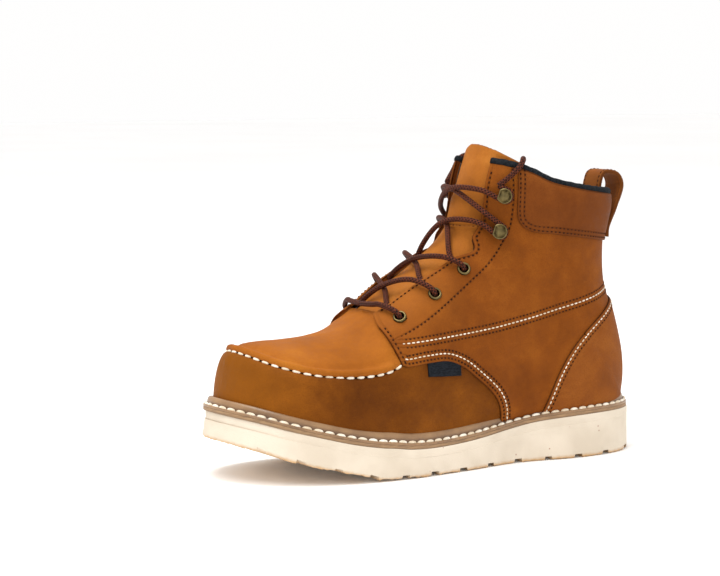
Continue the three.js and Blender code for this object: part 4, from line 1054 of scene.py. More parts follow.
def cut(obj, verts, faces):
    """Subtract a closed mesh and keep the result as plain mesh."""
    tool_mesh = bpy.data.meshes.new("cutter")
    tool_mesh.from_pydata(np.asarray(verts).tolist(), [], faces)
    tool = bpy.data.objects.new("cutter", tool_mesh)
    bpy.context.scene.collection.objects.link(tool)
    change = obj.modifiers.new("cut", "BOOLEAN")
    change.operation = "DIFFERENCE"
    change.solver = "EXACT"
    change.object = tool
    bpy.context.view_layer.update()
    result = bpy.data.meshes.new_from_object(obj.evaluated_get(bpy.context.evaluated_depsgraph_get()))
    obj.modifiers.clear()
    obj.data = result
    bpy.data.objects.remove(tool)
    return obj


def outsole_finish():
    f = Finish("cream_foam_rubber", roughness=0.68, Specular_IOR_Level=0.35)
    cloud = f.noise(26, 3)
    colour = f.blend(f.between(cloud, 0.35, 0.65), paint(213, 199, 179), paint(226, 213, 194))
    # A browner band with a ragged top along the lowest few millimetres of the side.
    ragged_bottom_band = f.sum("ADD", f.mark("up"), f.sum("MULTIPLY", f.noise(260, 3), 2 * MM))
    colour = f.blend(f.between(ragged_bottom_band, 1.0 * MM, 4.2 * MM, 0.9, 0.0), colour, paint(198, 152, 92))
    specks = f.cells(170)
    picked = f.noise(41, 1)
    speck = f.sum("MULTIPLY", f.between(specks, 0.05, 0.12, 1, 0), f.between(picked, 0.54, 0.6, 0, 0.75))
    colour = f.blend(speck, colour, paint(150, 84, 52))
    pits = f.cells(1400)
    normal = f.bump(f.sum("ADD", pits, f.sum("MULTIPLY", f.noise(500, 3), 1.2)), 0.09 * MM)
    return f.done(colour, normal=normal)


sole_verts, sole_faces = outsole_form()
outsole = piece("outsole_foam", sole_verts, sole_faces, outsole_finish(), ["outsole"])
groove_places = np.arange(-LENGTH / 2 + 23 * MM * 0.6, LENGTH / 2 - 23 * MM / 3, 23 * MM)
cut_verts, cut_faces, _ = joined([groove(x) for x in groove_places])
cut(outsole, cut_verts, cut_faces)
corners = np.empty(len(outsole.data.vertices) * 3, np.float32)
outsole.data.vertices.foreach_get("co", corners)
corners = corners.reshape(-1, 3)
outsole.data.attributes.new("up", "FLOAT", "POINT").data.foreach_set(
    "value", (corners[:, 2] - lift_at(corners[:, 0])).astype(np.float32))
outsole.data.shade_smooth()
outsole.data.set_sharp_from_angle(angle=math.radians(32))
print("outsole:", len(outsole.data.polygons), "faces,", len(groove_places), "grooves")

# %% [markdown]
# ## Midsole and storm welt
# The midsole is a thin leather-brown layer with a cut edge. The welt lies on it: a flat strip that carries the
# white seam, and a bead pressed against the upper that keeps water out.

# %% Midsole and welt
def swept(profile, turns=TURNS):
    """A closed strip round the sole; profile is inward and up, in mm, over the outsole's top."""
    rings = []
    for inward, up in profile:
        p = inset(turns, np.full(len(turns), inward * MM))
        rings.append(np.concatenate([p, (sole_top(p[:, 0]) + up * MM)[:, None]], 1))
    return np.concatenate(rings), ring_faces(len(profile), len(turns)).tolist()


def midsole_finish():
    f = Finish("midsole_edge", roughness=0.66)
    layers = f.noise(520, 3, 0.6, 0, stretch=(0.25, 0.25, 3))
    colour = f.stops(layers, (0.3, paint(124, 96, 68)), (0.5, paint(152, 119, 84)), (0.7, paint(172, 138, 100)))
    colour = f.blend(f.between(f.noise(90, 3), 0.45, 0.7, 0, 0.5), colour, paint(132, 104, 78))
    colour = f.blend(f.between(f.mark("row"), 0.3 * MM, 1.1 * MM, 0.6, 0), colour, paint(118, 94, 70))
    return f.done(colour, normal=f.bump(layers, 0.15 * MM))


def welt_finish():
    f = Finish("welt_leather", roughness=0.42, Coat_Weight=0.25, Coat_Roughness=0.35)
    cloud = f.noise(60, 4)
    fibre = f.noise(700, 3, 0.6, 0.4, stretch=(1, 1, 2.5))
    colour = f.stops(cloud, (0.3, paint(120, 88, 56)), (0.5, paint(142, 107, 71)), (0.72, paint(160, 124, 84)))
    colour = f.blend(f.between(fibre, 0.55, 0.75, 0, 0.35), colour, paint(120, 82, 50))
    inward = f.mark("row")
    # Painted shade: the groove at the foot of the bead, where the welt seam sinks, is darkened.
    groove_painted_shade = f.between(f.sum("ABSOLUTE", f.sum("SUBTRACT", inward, 2.75 * MM)), 0.1 * MM, 0.6 * MM, 0.7, 0)
    colour = f.blend(groove_painted_shade, colour, paint(62, 38, 22))
    return f.done(colour, f.between(cloud, 0.3, 0.7, 0.36, 0.52), f.bump(fibre, 0.1 * MM))


mid_profile = [(9, 0.0), (0.7, 0.0), (0.62, 0.25), (0.6, 0.8), (0.63, 1.2), (0.6, 1.7), (0.64, 2.15), (0.8, 2.35),
               (9, 2.35)]
mid_verts, mid_faces = swept(mid_profile)
piece("midsole_layer", mid_verts, mid_faces, midsole_finish(), ["midsole"],
      {"row": np.repeat([up * MM for _, up in mid_profile], ROUND)})

welt_profile = [(9, 2.4), (0.8, 2.4), (0.62, 2.55), (0.6, 3.5), (0.78, 3.85), (1.1, 4.0), (2.5, 4.03), (2.75, 4.1),
                (2.95, 4.45), (3.05, 5.4), (3.2, 6.6), (3.5, 7.7), (3.95, 8.6), (4.5, 9.2), (5.2, 9.55), (5.9, 9.62),
                (6.6, 9.4),
                (7.4, 8.6), (8.0, 7.2), (8.2, 5.4)]
welt_verts, welt_faces = swept(welt_profile)
piece("storm_welt", welt_verts, welt_faces, welt_finish(), ["welt"],
      {"row": np.repeat([inward * MM for inward, _ in welt_profile], ROUND)})


def welt_stitches(pitch=7.0 * MM, long=6.3 * MM, wide=1.9 * MM):
    fine = np.linspace(-1, 1, 4001)
    line = inset(fine, np.full(len(fine), 2.05 * MM))
    run = run_of(line)
    count = int(run[-1] / pitch)
    turn = np.interp((np.arange(count) + 0.5) * run[-1] / count, run, fine)
    way = outline(wrapped(turn + 0.003)) - outline(wrapped(turn - 0.003))
    p = inset(turn, np.full(count, 2.05 * MM))
    slope = (sole_top(p[:, 0] + MM) - sole_top(p[:, 0] - MM)) / (2 * MM)
    flat = unit(way)
    along = unit(np.stack([flat[:, 0], flat[:, 1], flat[:, 0] * slope], -1))
    normal = unit(np.stack([flat[:, 1] * 0.55, -flat[:, 0] * 0.55, np.ones(count)], -1))
    normal = unit(normal - along * (normal * along).sum(1)[:, None])
    side = np.cross(normal, along)
    centre = np.concatenate([p, (sole_top(p[:, 0]) + 4.25 * MM)[:, None]], 1)
    return capsules(centre, along, side, normal, long, wide, bow=0.35, sides=8, rings=9)


thread("welt_seam", [welt_stitches()], WHITE_THREAD)

# %% [markdown]
# ## Vamp
# The vamp wraps the toe from featherline to featherline. It is one sheet over the last, a little fuller just
# under the moccasin seam, where it was gathered to the plug.

# %% Vamp
MOC_BACK = 7.0
moc_sections = 1.3 + (MOC_BACK - 1.3) * np.linspace(0, 1, 160) ** 1.6
moc_half = np.stack([moc_sections, MOC_SEAM(moc_sections)], -1)
MOC_LINE = np.concatenate([moc_half[::-1], (moc_half * [1, -1])[1:]])
MOC_LINE_PLACES = surface(MOC_LINE[:, 0], MOC_LINE[:, 1])


def vamp():
    section = np.concatenate([np.linspace(0, 0.9, 26), np.linspace(0.9, 6.9, 96)[1:], np.linspace(6.9, 10.6, 34)[1:]])
    reach = np.linspace(-1, 1, 151)
    s, r = np.meshgrid(section, reach, indexing="ij")
    shape = s.shape
    s, r = s.ravel(), r.ravel()
    place = surface(s, r)
    gap = away_from(place, MOC_LINE_PLACES)
    inside = np.abs(r) < MOC_SEAM(np.clip(s, 1.3, 7))
    fold = 1.3 * MM * np.exp(-((gap / (9 * MM)) ** 2)) * (~inside)
    dip = -1.2 * MM * np.exp(-((gap / (1.5 * MM)) ** 2))
    puckers = 0.22 * MM * np.sin(arc_of(place) * 2 * np.pi / (7 * MM)) * np.exp(-gap / (5 * MM)) * (~inside)
    height = fold + dip + puckers + crease(place, r)
    height = np.where(inside, -0.8 * MM, height)
    verts = lifted(s, r, height)
    toe = s < 0.02
    verts[toe] = (place[toe] + surface_normal(s[toe], r[toe]) * [1, 0, 1] * height[toe][:, None])
    n, m = shape
    faces = grid_faces(n, m)
    keep = ~((s[faces].mean(1) > 6.3) & (np.abs(r[faces]).mean(1) < 0.42))
    return verts, faces[keep]


def arc_of(place):
    """Way along the moccasin seam of the point of it that is nearest."""
    run = run_of(MOC_LINE_PLACES)
    out = np.empty(len(place))
    for i in range(0, len(place), 1500):
        gap = np.linalg.norm(place[i:i + 1500, None] - MOC_LINE_PLACES[None], axis=-1)
        out[i:i + 1500] = run[gap.argmin(1)]
    return out


# The vamp's tones are set darker than the quarter's: painted shade for the toe's sides, which face away from the light
# and lie under the plug's roll.
VAMP_LEATHER_WITH_PAINTED_SHADE = leather("vamp_leather_with_painted_shade", paint(80, 39, 6), paint(107, 57, 11), paint(138, 78, 19),
                       pull=paint(158, 94, 20))
vamp_verts, vamp_faces = vamp()
vamp_piece = piece("vamp", vamp_verts, vamp_faces, VAMP_LEATHER_WITH_PAINTED_SHADE, ["upper"],
                   {"edge": np.full(len(vamp_verts), 0.02),
                    "pull": np.clip((vamp_verts[:, 0] - 105 * MM) / (45 * MM), 0, 1) * 0.5})
weld(vamp_piece)

# %% [markdown]
# ## The plug of the moccasin toe
# The plug's edge is folded up and sewn to the gathered vamp, which makes the raised roll round the toe. The
# grid runs from the seam to a line along the crest.

# %% Plug
def plug_height(distance):
    d = np.clip(distance / MM, 0, 60)
    roll = 3.55 * np.sqrt(np.clip(1 - ((2.4 - np.minimum(d, 2.4)) / 2.5) ** 2, 0, 1))
    crown = 1.25 + 2.3 * np.exp(-(((d - 2.4) / 2.1) ** 2))
    dip = 0.75 * np.exp(-(((d - 6.0) / 2.2) ** 2))
    return np.where(d < 2.4, roll, crown - dip) * MM


def plug():
    count = 420
    edge = part_of(MOC_LINE, np.linspace(0, 1, count))
    share = np.abs(np.linspace(-1, 1, count))
    spine_section = 2.35 + (6.95 - 2.35) * share**1.25
    wide = 26 * MM
    rows = np.array([3, 3.8, 4.6, 5.6, 6.8, 8.2, 10, 12.5, 15, 18, 21.5]) * MM
    steps = np.concatenate([EDGE_ROWS[1:], rows, [wide]]) / wide
    steps = np.concatenate([[0], steps])
    t = steps[None, :, None]
    spine = np.stack([spine_section, np.zeros(count)], -1)
    at = edge[:, None] * (1 - t) + spine[:, None] * t
    n, m = at.shape[:2]
    flat = at.reshape(-1, 2)
    place = surface(flat[:, 0], flat[:, 1])
    gap = away_from(place, MOC_LINE_PLACES)
    under_quarter = np.clip((52.5 * MM - place[:, 0]) / (4 * MM), 0, 1)
    height = plug_height(gap) * (1 - 0.75 * under_quarter)
    ripple = 0.12 * MM * np.sin(arc_of(place) * 2 * np.pi / (7 * MM)) * np.exp(-gap / (4 * MM))
    verts = lifted(flat[:, 0], flat[:, 1], height + ripple * (gap > 0.3 * MM))
    low = lifted(edge[:, 0], edge[:, 1], -1.5 * MM)
    faces = grid_faces(n, m)
    k = np.arange(n - 1)
    base = len(verts)
    wall = np.stack([base + k, k * m, (k + 1) * m, base + k + 1], -1)
    faces = np.concatenate([faces, wall])
    f = faces[len(faces) // 2]
    v = np.concatenate([verts, low])
    if np.cross(v[f[1]] - v[f[0]], v[f[3]] - v[f[0]])[2] < 0:
        faces = faces[:, ::-1]
    return v, faces


# The plug's tones are set lighter than the quarter's: partly its own tone, partly painted light on its top, which faces
# the light.
PLUG_LEATHER_WITH_PAINTED_LIGHT = leather("plug_leather", paint(132, 72, 20), paint(160, 92, 28), paint(186, 116, 40))
plug_verts, plug_faces = plug()
plug_piece = piece("toe_plug", plug_verts, plug_faces, PLUG_LEATHER_WITH_PAINTED_LIGHT, ["apron"],
                   {"edge": np.full(len(plug_verts), 0.02)})
weld(plug_piece)


def moc_stitches():
    section, reach = MOC_LINE[:, 0], MOC_LINE[:, 1]
    here = surface(section, reach)
    normal = surface_normal(section, reach)
    way = unit(np.gradient(here, axis=0))
    out = np.cross(normal, way)
    middle = surface(np.full(len(section), 4.0), np.zeros(len(section)))
    out *= np.sign(((here - middle) * out).sum(1))[:, None]
    run = run_of(here)
    pitch = 6.9 * MM
    count = int(run[-1] / pitch)
    centre_at = (np.arange(count) + 0.5) * run[-1] / count

    def at(where, values):
        return read_at(where, run, values)

    def seat(where, aside, up):
        return at(where, here) + at(where, unit(out)) * aside + at(where, normal) * up

    a, b = seat(centre_at - 2.4 * MM, 0.5 * MM, 0.6 * MM), seat(centre_at + 2.4 * MM, 0.5 * MM, 0.6 * MM)
    along = unit(b - a)
    tilted = unit(at(centre_at, normal) + at(centre_at, unit(out)) * 0.8)
    tilted = unit(tilted - along * (tilted * along).sum(1)[:, None])
    side = np.cross(tilted, along)
    white = capsules((a + b) / 2, along, side, tilted, 5.2 * MM, 1.75 * MM, 0.3, 8, 7, 1.4 * MM)
    # Dark capsules between the white stitches: painted shade standing in for the hollows of the needle holes.
    hole_at = centre_at + run[-1] / count / 2
    a, b = seat(hole_at - MM, 0.3 * MM, 0.25 * MM), seat(hole_at + MM, 0.3 * MM, 0.25 * MM)
    hole = capsules((a + b) / 2, unit(b - a), side, tilted, 2.6 * MM, 1.9 * MM, 0.1, 8, 5, 0.9 * MM)
    return white, hole


# The needle holes' finish is painted shade: a near-black brown.
NEEDLE_HOLE_SHADE = thread_finish("needle_hole", paint(30, 14, 6), paint(48, 24, 10), 0.9)
moc_white, moc_hole_shades = moc_stitches()
thread("moccasin_seam", [moc_white], WHITE_THREAD)
thread("moccasin_hole_shades", [moc_hole_shades], NEEDLE_HOLE_SHADE)

# %% [markdown]
# ## Quarters
# Each quarter is one piece of leather from the facing round to the back of the heel and up to the collar. Its
# lower front edge lies over vamp and plug, and white and brown seams run beside it.

# %% Quarters
def to_featherline(line, side):
    """The line until it meets the featherline, its last point just on it."""
    line = until(line, np.abs(line[:, 1]) > 0.995)
    line[-1, 1] = side
    return line


def chained(*lines):
    out = [lines[0]]
    for line in lines[1:]:
        out.append(line[1:] if np.allclose(line[0], out[-1][-1], atol=1e-6) else line)
    return np.concatenate(out)


def quarter_lines(side):
    corner_section = 6.82
    corner = np.array([corner_section, float(reach_for(np.array(corner_section), side, THROAT_HALF(corner_section)))])
    front = drawn([(0.1615, 0.335), (0.156, 0.278), (0.1475, 0.214)], side, 24)
    front = np.concatenate([corner[None], front])
    low = to_featherline(drawn(QUARTER_LOW, side, 90), side)
    feather = np.stack([np.linspace(low[-1, 0], 13, 30), np.full(30, float(side))], -1)
    bottom = chained(front, low, feather)
    throat = throat_edge(side)
    top = collar_edge(side, 3.5 * MM)
    throat = throat[(throat[:, 0] > corner_section) & (throat[:, 0] < top[0, 0])]
    left = np.concatenate([corner[None], throat, top[:1]])
    right = np.stack([np.linspace(13, top[-1, 0], 60), np.full(60, float(side))], -1)
    top[-1] = right[-1]
    return {"bottom": bottom, "top": top, "left": left, "right": right, "front": front, "low": low}


QUARTER_LINES = {name: quarter_lines(side) for name, side in SIDES.items()}


def quarter_over(section, reach, place):
    """The quarter's skin over the last: it rises where it lies on the plug."""
    near = np.clip((place[:, 0] - 36 * MM) / (14 * MM), 0, 1) * (section < 8.2)
    on_plug = np.clip((0.66 - np.abs(reach)) / 0.12, 0, 1)
    return QUARTER + 1.5 * MM * near * near * (3 - 2 * near) * on_plug + crease(place, reach)


def skin_at(line, more=0.0):
    place = surface(line[:, 0], line[:, 1])
    return lifted(line[:, 0], line[:, 1], quarter_over(line[:, 0], line[:, 1], place) + more)


def quarter_under(section, reach, place):
    deep = np.where(section > 7.2, -WALL, -0.2 * MM)
    return np.where(np.abs(reach) < 0.42, np.where(section > 7.4, deep, 0.3 * MM), -0.3 * MM)


SEAM_LINES = {}
for name, side in SIDES.items():
    SEAM_LINES[name] = {
        "upper": drawn(UPPER_SEAM, side, 420),
        "facing": drawn(FACING_SEAM, side, 300),
    }
    end = np.abs(SEAM_LINES[name]["upper"][:, 1]) > 0.998
    SEAM_LINES[name]["upper"] = until(SEAM_LINES[name]["upper"], end)

QUARTER_LEATHER = leather(
    "quarter_leather", paint(102, 51, 13), paint(130, 69, 19), paint(156, 90, 29),
    seams=[("low", 2.1), ("low", 4.8), ("low", 7.0), ("throat", 2.7), ("upper", 0.0), ("upper", 2.7), ("upper", -2.7),
           ("facing", 0.0)], pull=paint(186, 114, 44),
)


def quarter(name, side):
    lines = QUARTER_LINES[name]
    verts, faces, gap, at = panel(lines["bottom"], lines["top"], lines["left"], lines["right"], quarter_over,
                                  quarter_under, cut="blt", step=2.0 * MM)
    for section, reach in EYELETS:
        faces = without(verts, faces, lifted(section, side * reach, QUARTER), 3.5 * MM)
    marks = {
        "edge": gap,
        "pull": 0.6 * (np.clip((verts[:, 0] + 10 * MM) / (60 * MM), 0, 1)
                       * np.clip((verts[:, 2] - 85 * MM) / (30 * MM), 0, 1)),
        "low": away_from(verts, skin_at(lines["low"])),
        "throat": away_from(verts, skin_at(chained(lines["front"][::-1], lines["left"]))),
        "upper": signed_from(verts, at, skin_at(SEAM_LINES[name]["upper"])),
        "facing": signed_from(verts, at, skin_at(SEAM_LINES[name]["facing"])),
    }
    return piece("quarter_" + name, verts, faces, QUARTER_LEATHER, ["upper"], marks)


for name, side in SIDES.items():
    made = quarter(name, side)
    print(made.name, len(made.data.polygons), "faces")

# %% [markdown]
# ## Counter and cuff
# The counter is a second layer over the heel. The cuff is soft, padded leather round the top of the shaft: it
# bulges between its seams, which is modelled directly, since it is thin and sewn down all round.

# %% Counter and cuff
def counter_lines(side):
    whole = drawn(COUNTER, side, 120)
    whole = whole[int(np.argmax(np.abs(whole[:, 1]) < 0.995)):]
    whole[0, 1] = side
    back = (np.abs(whole[:, 1]) > 0.998) & (whole[:, 0] > 14)
    whole = until(whole, back)
    whole[-1, 1] = side
    split = int(np.argmin(np.linalg.norm(surface(whole[:, 0], whole[:, 1])[:, [0, 2]]
                                         - [-0.32 * LENGTH, 0.278 * SHAFT_HEIGHT + DATUM], axis=1)))
    left, top = whole[: split + 1], whole[split:]
    bottom = np.stack([np.linspace(whole[0, 0], 13, 40), np.full(40, float(side))], -1)
    right = np.stack([np.linspace(13, whole[-1, 0], 40), np.full(40, float(side))], -1)
    return {"bottom": bottom, "top": top, "left": left, "right": right, "edge": whole}


COUNTER_LINES = {name: counter_lines(side) for name, side in SIDES.items()}
COUNTER_TOP = QUARTER + 1.45 * MM


def counter_over(section, reach, place):
    return COUNTER_TOP + crease(place, reach)


COUNTER_LEATHER = leather("counter_leather", paint(104, 53, 16), paint(134, 73, 25), paint(158, 94, 37),
                          seams=[("edge", 2.0), ("edge", 4.6)])


def counter(name):
    lines = COUNTER_LINES[name]
    return panel(lines["bottom"], lines["top"], lines["left"], lines["right"], counter_over, QUARTER - 0.3 * MM,
                 cut="lt", step=2.2 * MM, roll=0.8 * MM)


halves = [counter(name) for name in SIDES]
verts, faces, gap = joined([(v, f.tolist(), g) for v, f, g, _ in halves])
weld(piece("heel_counter_leather", verts, faces, COUNTER_LEATHER, ["heel_counter"], {"edge": gap}))


def cuff_lines(side):
    low = drawn(CUFF_LOW, side, 90)
    low = until(low, np.abs(low[:, 1]) > 0.998)
    low[-1, 1] = side
    collar = collar_edge(side, 3.5 * MM, 300)
    x = surface(collar[:, 0], collar[:, 1])[:, 0]
    top = collar[x <= -0.16 * LENGTH]
    front = drawn(CUFF_FRONT[::-1], side, 40)
    left = np.concatenate([low[:1], front[1:-1], top[:1]])
    right = np.stack([np.linspace(low[-1, 0], top[-1, 0], 40), np.full(40, float(side))], -1)
    top[-1] = right[-1]
    return {"bottom": low, "top": top, "left": left, "right": right}


CUFF_LINES = {name: cuff_lines(side) for name, side in SIDES.items()}


def cuff_over(section, reach, place):
    return QUARTER + 1.5 * MM + crease(place, reach) * 0.5


CUFF_LEATHER = leather("cuff_leather", paint(90, 44, 13), paint(116, 61, 21), paint(142, 81, 32),
                       seams=[("hem", 1.6), ("hem", 4.3)])


def cuff_half(name, side):
    lines = CUFF_LINES[name]
    verts, faces, gap, at = panel(lines["bottom"], lines["top"], lines["left"], lines["right"], cuff_over,
                                  QUARTER - 0.3 * MM, cut="blt", step=2.4 * MM, roll=0.9 * MM)
    place = surface(at[:, 0], at[:, 1])
    hem = np.minimum(away_from(place, surface(*lines["bottom"].T)), away_from(place, surface(*lines["left"].T)))
    top = away_from(place, surface(*lines["top"].T))
    rise = 1 - np.exp(-np.maximum(hem - 4.5 * MM, 0) / (9 * MM))
    rise *= 1 - np.exp(-np.maximum(top - 0.5 * MM, 0) / (7 * MM))
    wrinkle = 0.35 * MM * np.sin(place[:, 0] / (9 * MM) + 2 * np.sin(place[:, 2] / (7 * MM))) * rise
    verts = verts + surface_normal(at[:, 0], at[:, 1]) * ((1.9 * MM * rise + wrinkle) * (gap > 0))[:, None]
    return verts, faces.tolist(), np.stack([gap, hem], -1)


verts, faces, marks = joined([cuff_half(name, side) for name, side in SIDES.items()])
cuff = piece("padded_cuff", verts, faces, CUFF_LEATHER, ["collar_cuff"],
             {"edge": marks[:, 0], "hem": marks[:, 1]})
weld(cuff)

# %% [markdown]
# ## Seams of the upper
# White thread shows in the middle of three rows along the side, beside the quarter's low edge, and on the
# counter. The other rows are brown, sunk in lines that the leather darkens with painted shade.

# %% Threads
def side_rows(name, side):
    white, brown = [], []
    upper = SEAM_LINES[name]["upper"]
    white.append(stitches(upper, 3.2 * MM, 2.5 * MM, 0.95 * MM, QUARTER))
    for shift in (2.7, -2.7):
        brown.append(stitches(beside(upper, side * shift * MM), 2.7 * MM, 1.75 * MM, 0.95 * MM, QUARTER, bow=0.1))
    brown.append(stitches(SEAM_LINES[name]["facing"], 3.1 * MM, 2.0 * MM, 1.05 * MM, QUARTER, bow=0.1))
    low = QUARTER_LINES[name]["low"]
    white.append(raised_row(beside(low, side * 4.8 * MM), 3.2 * MM, 2.5 * MM, 0.95 * MM))
    for shift in (2.1, 7.0):
        brown.append(raised_row(beside(low, side * shift * MM), 2.7 * MM, 1.75 * MM, 0.95 * MM))
    front = QUARTER_LINES[name]["front"][1:]
    brown.append(raised_row(beside(front, side * 2.4 * MM)[2:], 2.9 * MM, 1.9 * MM, 1.0 * MM))
    throat = QUARTER_LINES[name]["left"]
    throat = throat[(throat[:, 0] > 7.0) & (throat[:, 0] < 18.3)]
    brown.append(raised_row(beside(throat, -side * 2.7 * MM), 3.1 * MM, 2.0 * MM, 1.05 * MM))
    edge = COUNTER_LINES[name]["edge"]
    white.append(stitches(beside(edge, -side * 2.0 * MM), 3.1 * MM, 2.4 * MM, 0.9 * MM, COUNTER_TOP))
    brown.append(stitches(beside(edge, -side * 4.6 * MM), 2.7 * MM, 1.75 * MM, 0.95 * MM, COUNTER_TOP, bow=0.1))
    hem = chained(CUFF_LINES[name]["left"][::-1], CUFF_LINES[name]["bottom"])
    for shift in (1.6, 4.3):
        brown.append(stitches(beside(hem, side * shift * MM), 2.9 * MM, 1.95 * MM, 1.05 * MM, QUARTER + 1.45 * MM,
                              bow=0.1))
    return white, brown


def raised_row(line, pitch, long, wide):
    """A row on the quarter where its skin rises over the plug."""
    place = surface(line[:, 0], line[:, 1])
    rise = quarter_over(line[:, 0], line[:, 1], place) - crease(place, line[:, 1])
    run = lengths(line)
    height = np.interp(spaced(run[-1], pitch), run, rise)
    return stitches(line, pitch, long, wide, height)


for name, side in SIDES.items():
    white, brown = side_rows(name, side)
    thread("white_seams_" + name, white, WHITE_THREAD)
    thread("brown_seams_" + name, brown, BROWN_THREAD)

# %% [markdown]
# ## Lining and footbed
# The inside is black: a smooth textile on the walls and a dark footbed below. It shows only round the collar,
# but it closes the boot from every side.

# %% Lining and footbed
def lining_finish():
    f = Finish("black_lining", roughness=0.85, Sheen_Weight=0.4, Sheen_Roughness=0.4, Specular_IOR_Level=0.2)
    weave = f.sum("MAXIMUM", f.cells(1300), f.noise(900, 2))
    colour = f.blend(f.between(weave, 0.25, 0.7), paint(13, 13, 15), paint(33, 33, 36))
    return f.done(colour, normal=f.bump(weave, 0.15 * MM))


LINING = lining_finish()


def lining():
    parts = []
    for name, side in SIDES.items():
        lines = QUARTER_LINES[name]
        verts, faces, gap, _ = panel(lines["bottom"], lines["top"], lines["left"], lines["right"], -WALL, -WALL, cut="",
                                     step=4 * MM)
        parts.append((verts, faces[:, ::-1].tolist(), gap))
    section, reach = np.linspace(0, 7.4, 40), np.linspace(-1, 1, 61)
    s, r = np.meshgrid(section, reach, indexing="ij")
    verts = lifted(s.ravel(), r.ravel(), -WALL)
    toe = s.ravel() < 0.02
    verts[toe, 1] = surface(s.ravel()[toe], r.ravel()[toe])[:, 1]
    i, j = np.meshgrid(np.arange(39), np.arange(60), indexing="ij")
    faces = np.stack([i * 61 + j, (i + 1) * 61 + j, (i + 1) * 61 + j + 1, i * 61 + j + 1], -1).reshape(-1, 4)
    keep = ~((s.ravel()[faces].mean(1) > 6.4) & (np.abs(r.ravel()[faces]).mean(1) < 0.3))
    parts.append((verts, faces[keep].tolist(), np.zeros(len(verts))))
    return joined(parts)


verts, faces, _ = lining()
piece("lining", verts, faces, LINING, ["upper"])


def footbed():
    seat = lambda x: sole_top(x) + SEAT + 0.5 * MM
    face = lambda x: sole_top(x) + SEAT + 4 * MM
    return closed_loft([loop(9.3 * MM, seat), loop(9.3 * MM, face)])


verts, faces = footbed()
piece("footbed_board", verts, faces, LINING, ["insole"])

# %% [markdown]
# ## Collar binding
# A black tape is folded over the raw edge of the collar. It is a profile swept from one facing round the back
# of the collar to the other.

# %% Collar binding
def binding_finish():
    f = Finish("binding_tape", roughness=0.8, Specular_IOR_Level=0.06)
    rib = f.noise(1400, 2, 0.5, 0, stretch=(1, 1, 0.4))
    colour = f.blend(f.between(rib, 0.3, 0.7), paint(16, 18, 20), paint(38, 41, 45))
    return f.done(colour, normal=f.bump(rib, 0.15 * MM))


def sweep(base, normal, up, profile, closed_ends=True):
    """A profile of (out, up) in mm swept along base points."""
    rings = [base + normal * out * MM + up * rise * MM for out, rise in profile]
    count, n = len(base), len(profile)
    verts = np.stack(rings, 1).reshape(-1, 3)
    faces = []
    for i in range(count - 1):
        for j in range(n):
            k = (j + 1) % n
            faces.append([i * n + j, i * n + k, (i + 1) * n + k, (i + 1) * n + j])
    if closed_ends:
        faces += [list(range(n))[::-1], list(range((count - 1) * n, count * n))]
    return verts, faces


def collar_round(height, count=120):
    lateral, medial = collar_edge(1, height, count), collar_edge(-1, height, count)
    base = np.concatenate([surface(*lateral.T), surface(*medial[::-1][1:].T)])
    normal = np.concatenate([surface_normal(*lateral.T), surface_normal(*medial[::-1][1:].T)])
    way = unit(np.gradient(base, axis=0))
    normal = unit(normal - way * (normal * way).sum(1)[:, None])
    up = np.cross(way, normal)
    up *= np.sign(up[:, 2:3])
    return base, normal, up


def binding():
    base, normal, up = collar_round(3.4 * MM)
    wave = 0.12 * np.sin(np.arange(len(base)) * 0.9)[:, None] * MM
    profile = [(-3.0, -0.2), (-3.15, 1.0), (-3.05, 2.2), (-2.5, 3.1), (-1.5, 3.5), (-0.3, 3.65), (0.8, 3.5), (1.7, 3.0),
               (2.2, 2.1), (2.35, 1.0), (2.25, -0.1), (1.8, -0.5), (-2.6, -0.5)]
    verts, faces = sweep(base + up * wave, normal, up, profile)
    return verts, faces


verts, faces = binding()
piece("collar_binding_tape", verts, faces, binding_finish(), ["collar_binding"])

# %% [markdown]
# ## Tongue
# The tongue lies under the facings, on its own surface a little below them. Its upper part is a second,
# padded layer with a stitched lower edge. Its black lining shows as a thin line along the top.

# %% Tongue
TONGUE_HALF = 33 * MM


def tongue_face(section):
    t = np.clip((section - 10.5) / 6.5, 0, 1)
    return -(3.3 + 4.1 * t * t * (3 - 2 * t)) * MM


def tongue_top(y):
    drop = smooth([-1, -0.82, -0.67, -0.5, -0.3, -0.1, 0, 0.36, 0.64, 0.85, 1],
                  [20, 12.3, 7.3, 3.1, 0.5, -0.2, 0, 1.6, 4, 7, 10.1])
    return (203.5 - drop(y / TONGUE_HALF)) * MM


def tongue_step_z(y):
    """Height above the floor of the upper layer's lower edge."""
    return (150.5 - 0.03 * y / MM) * MM


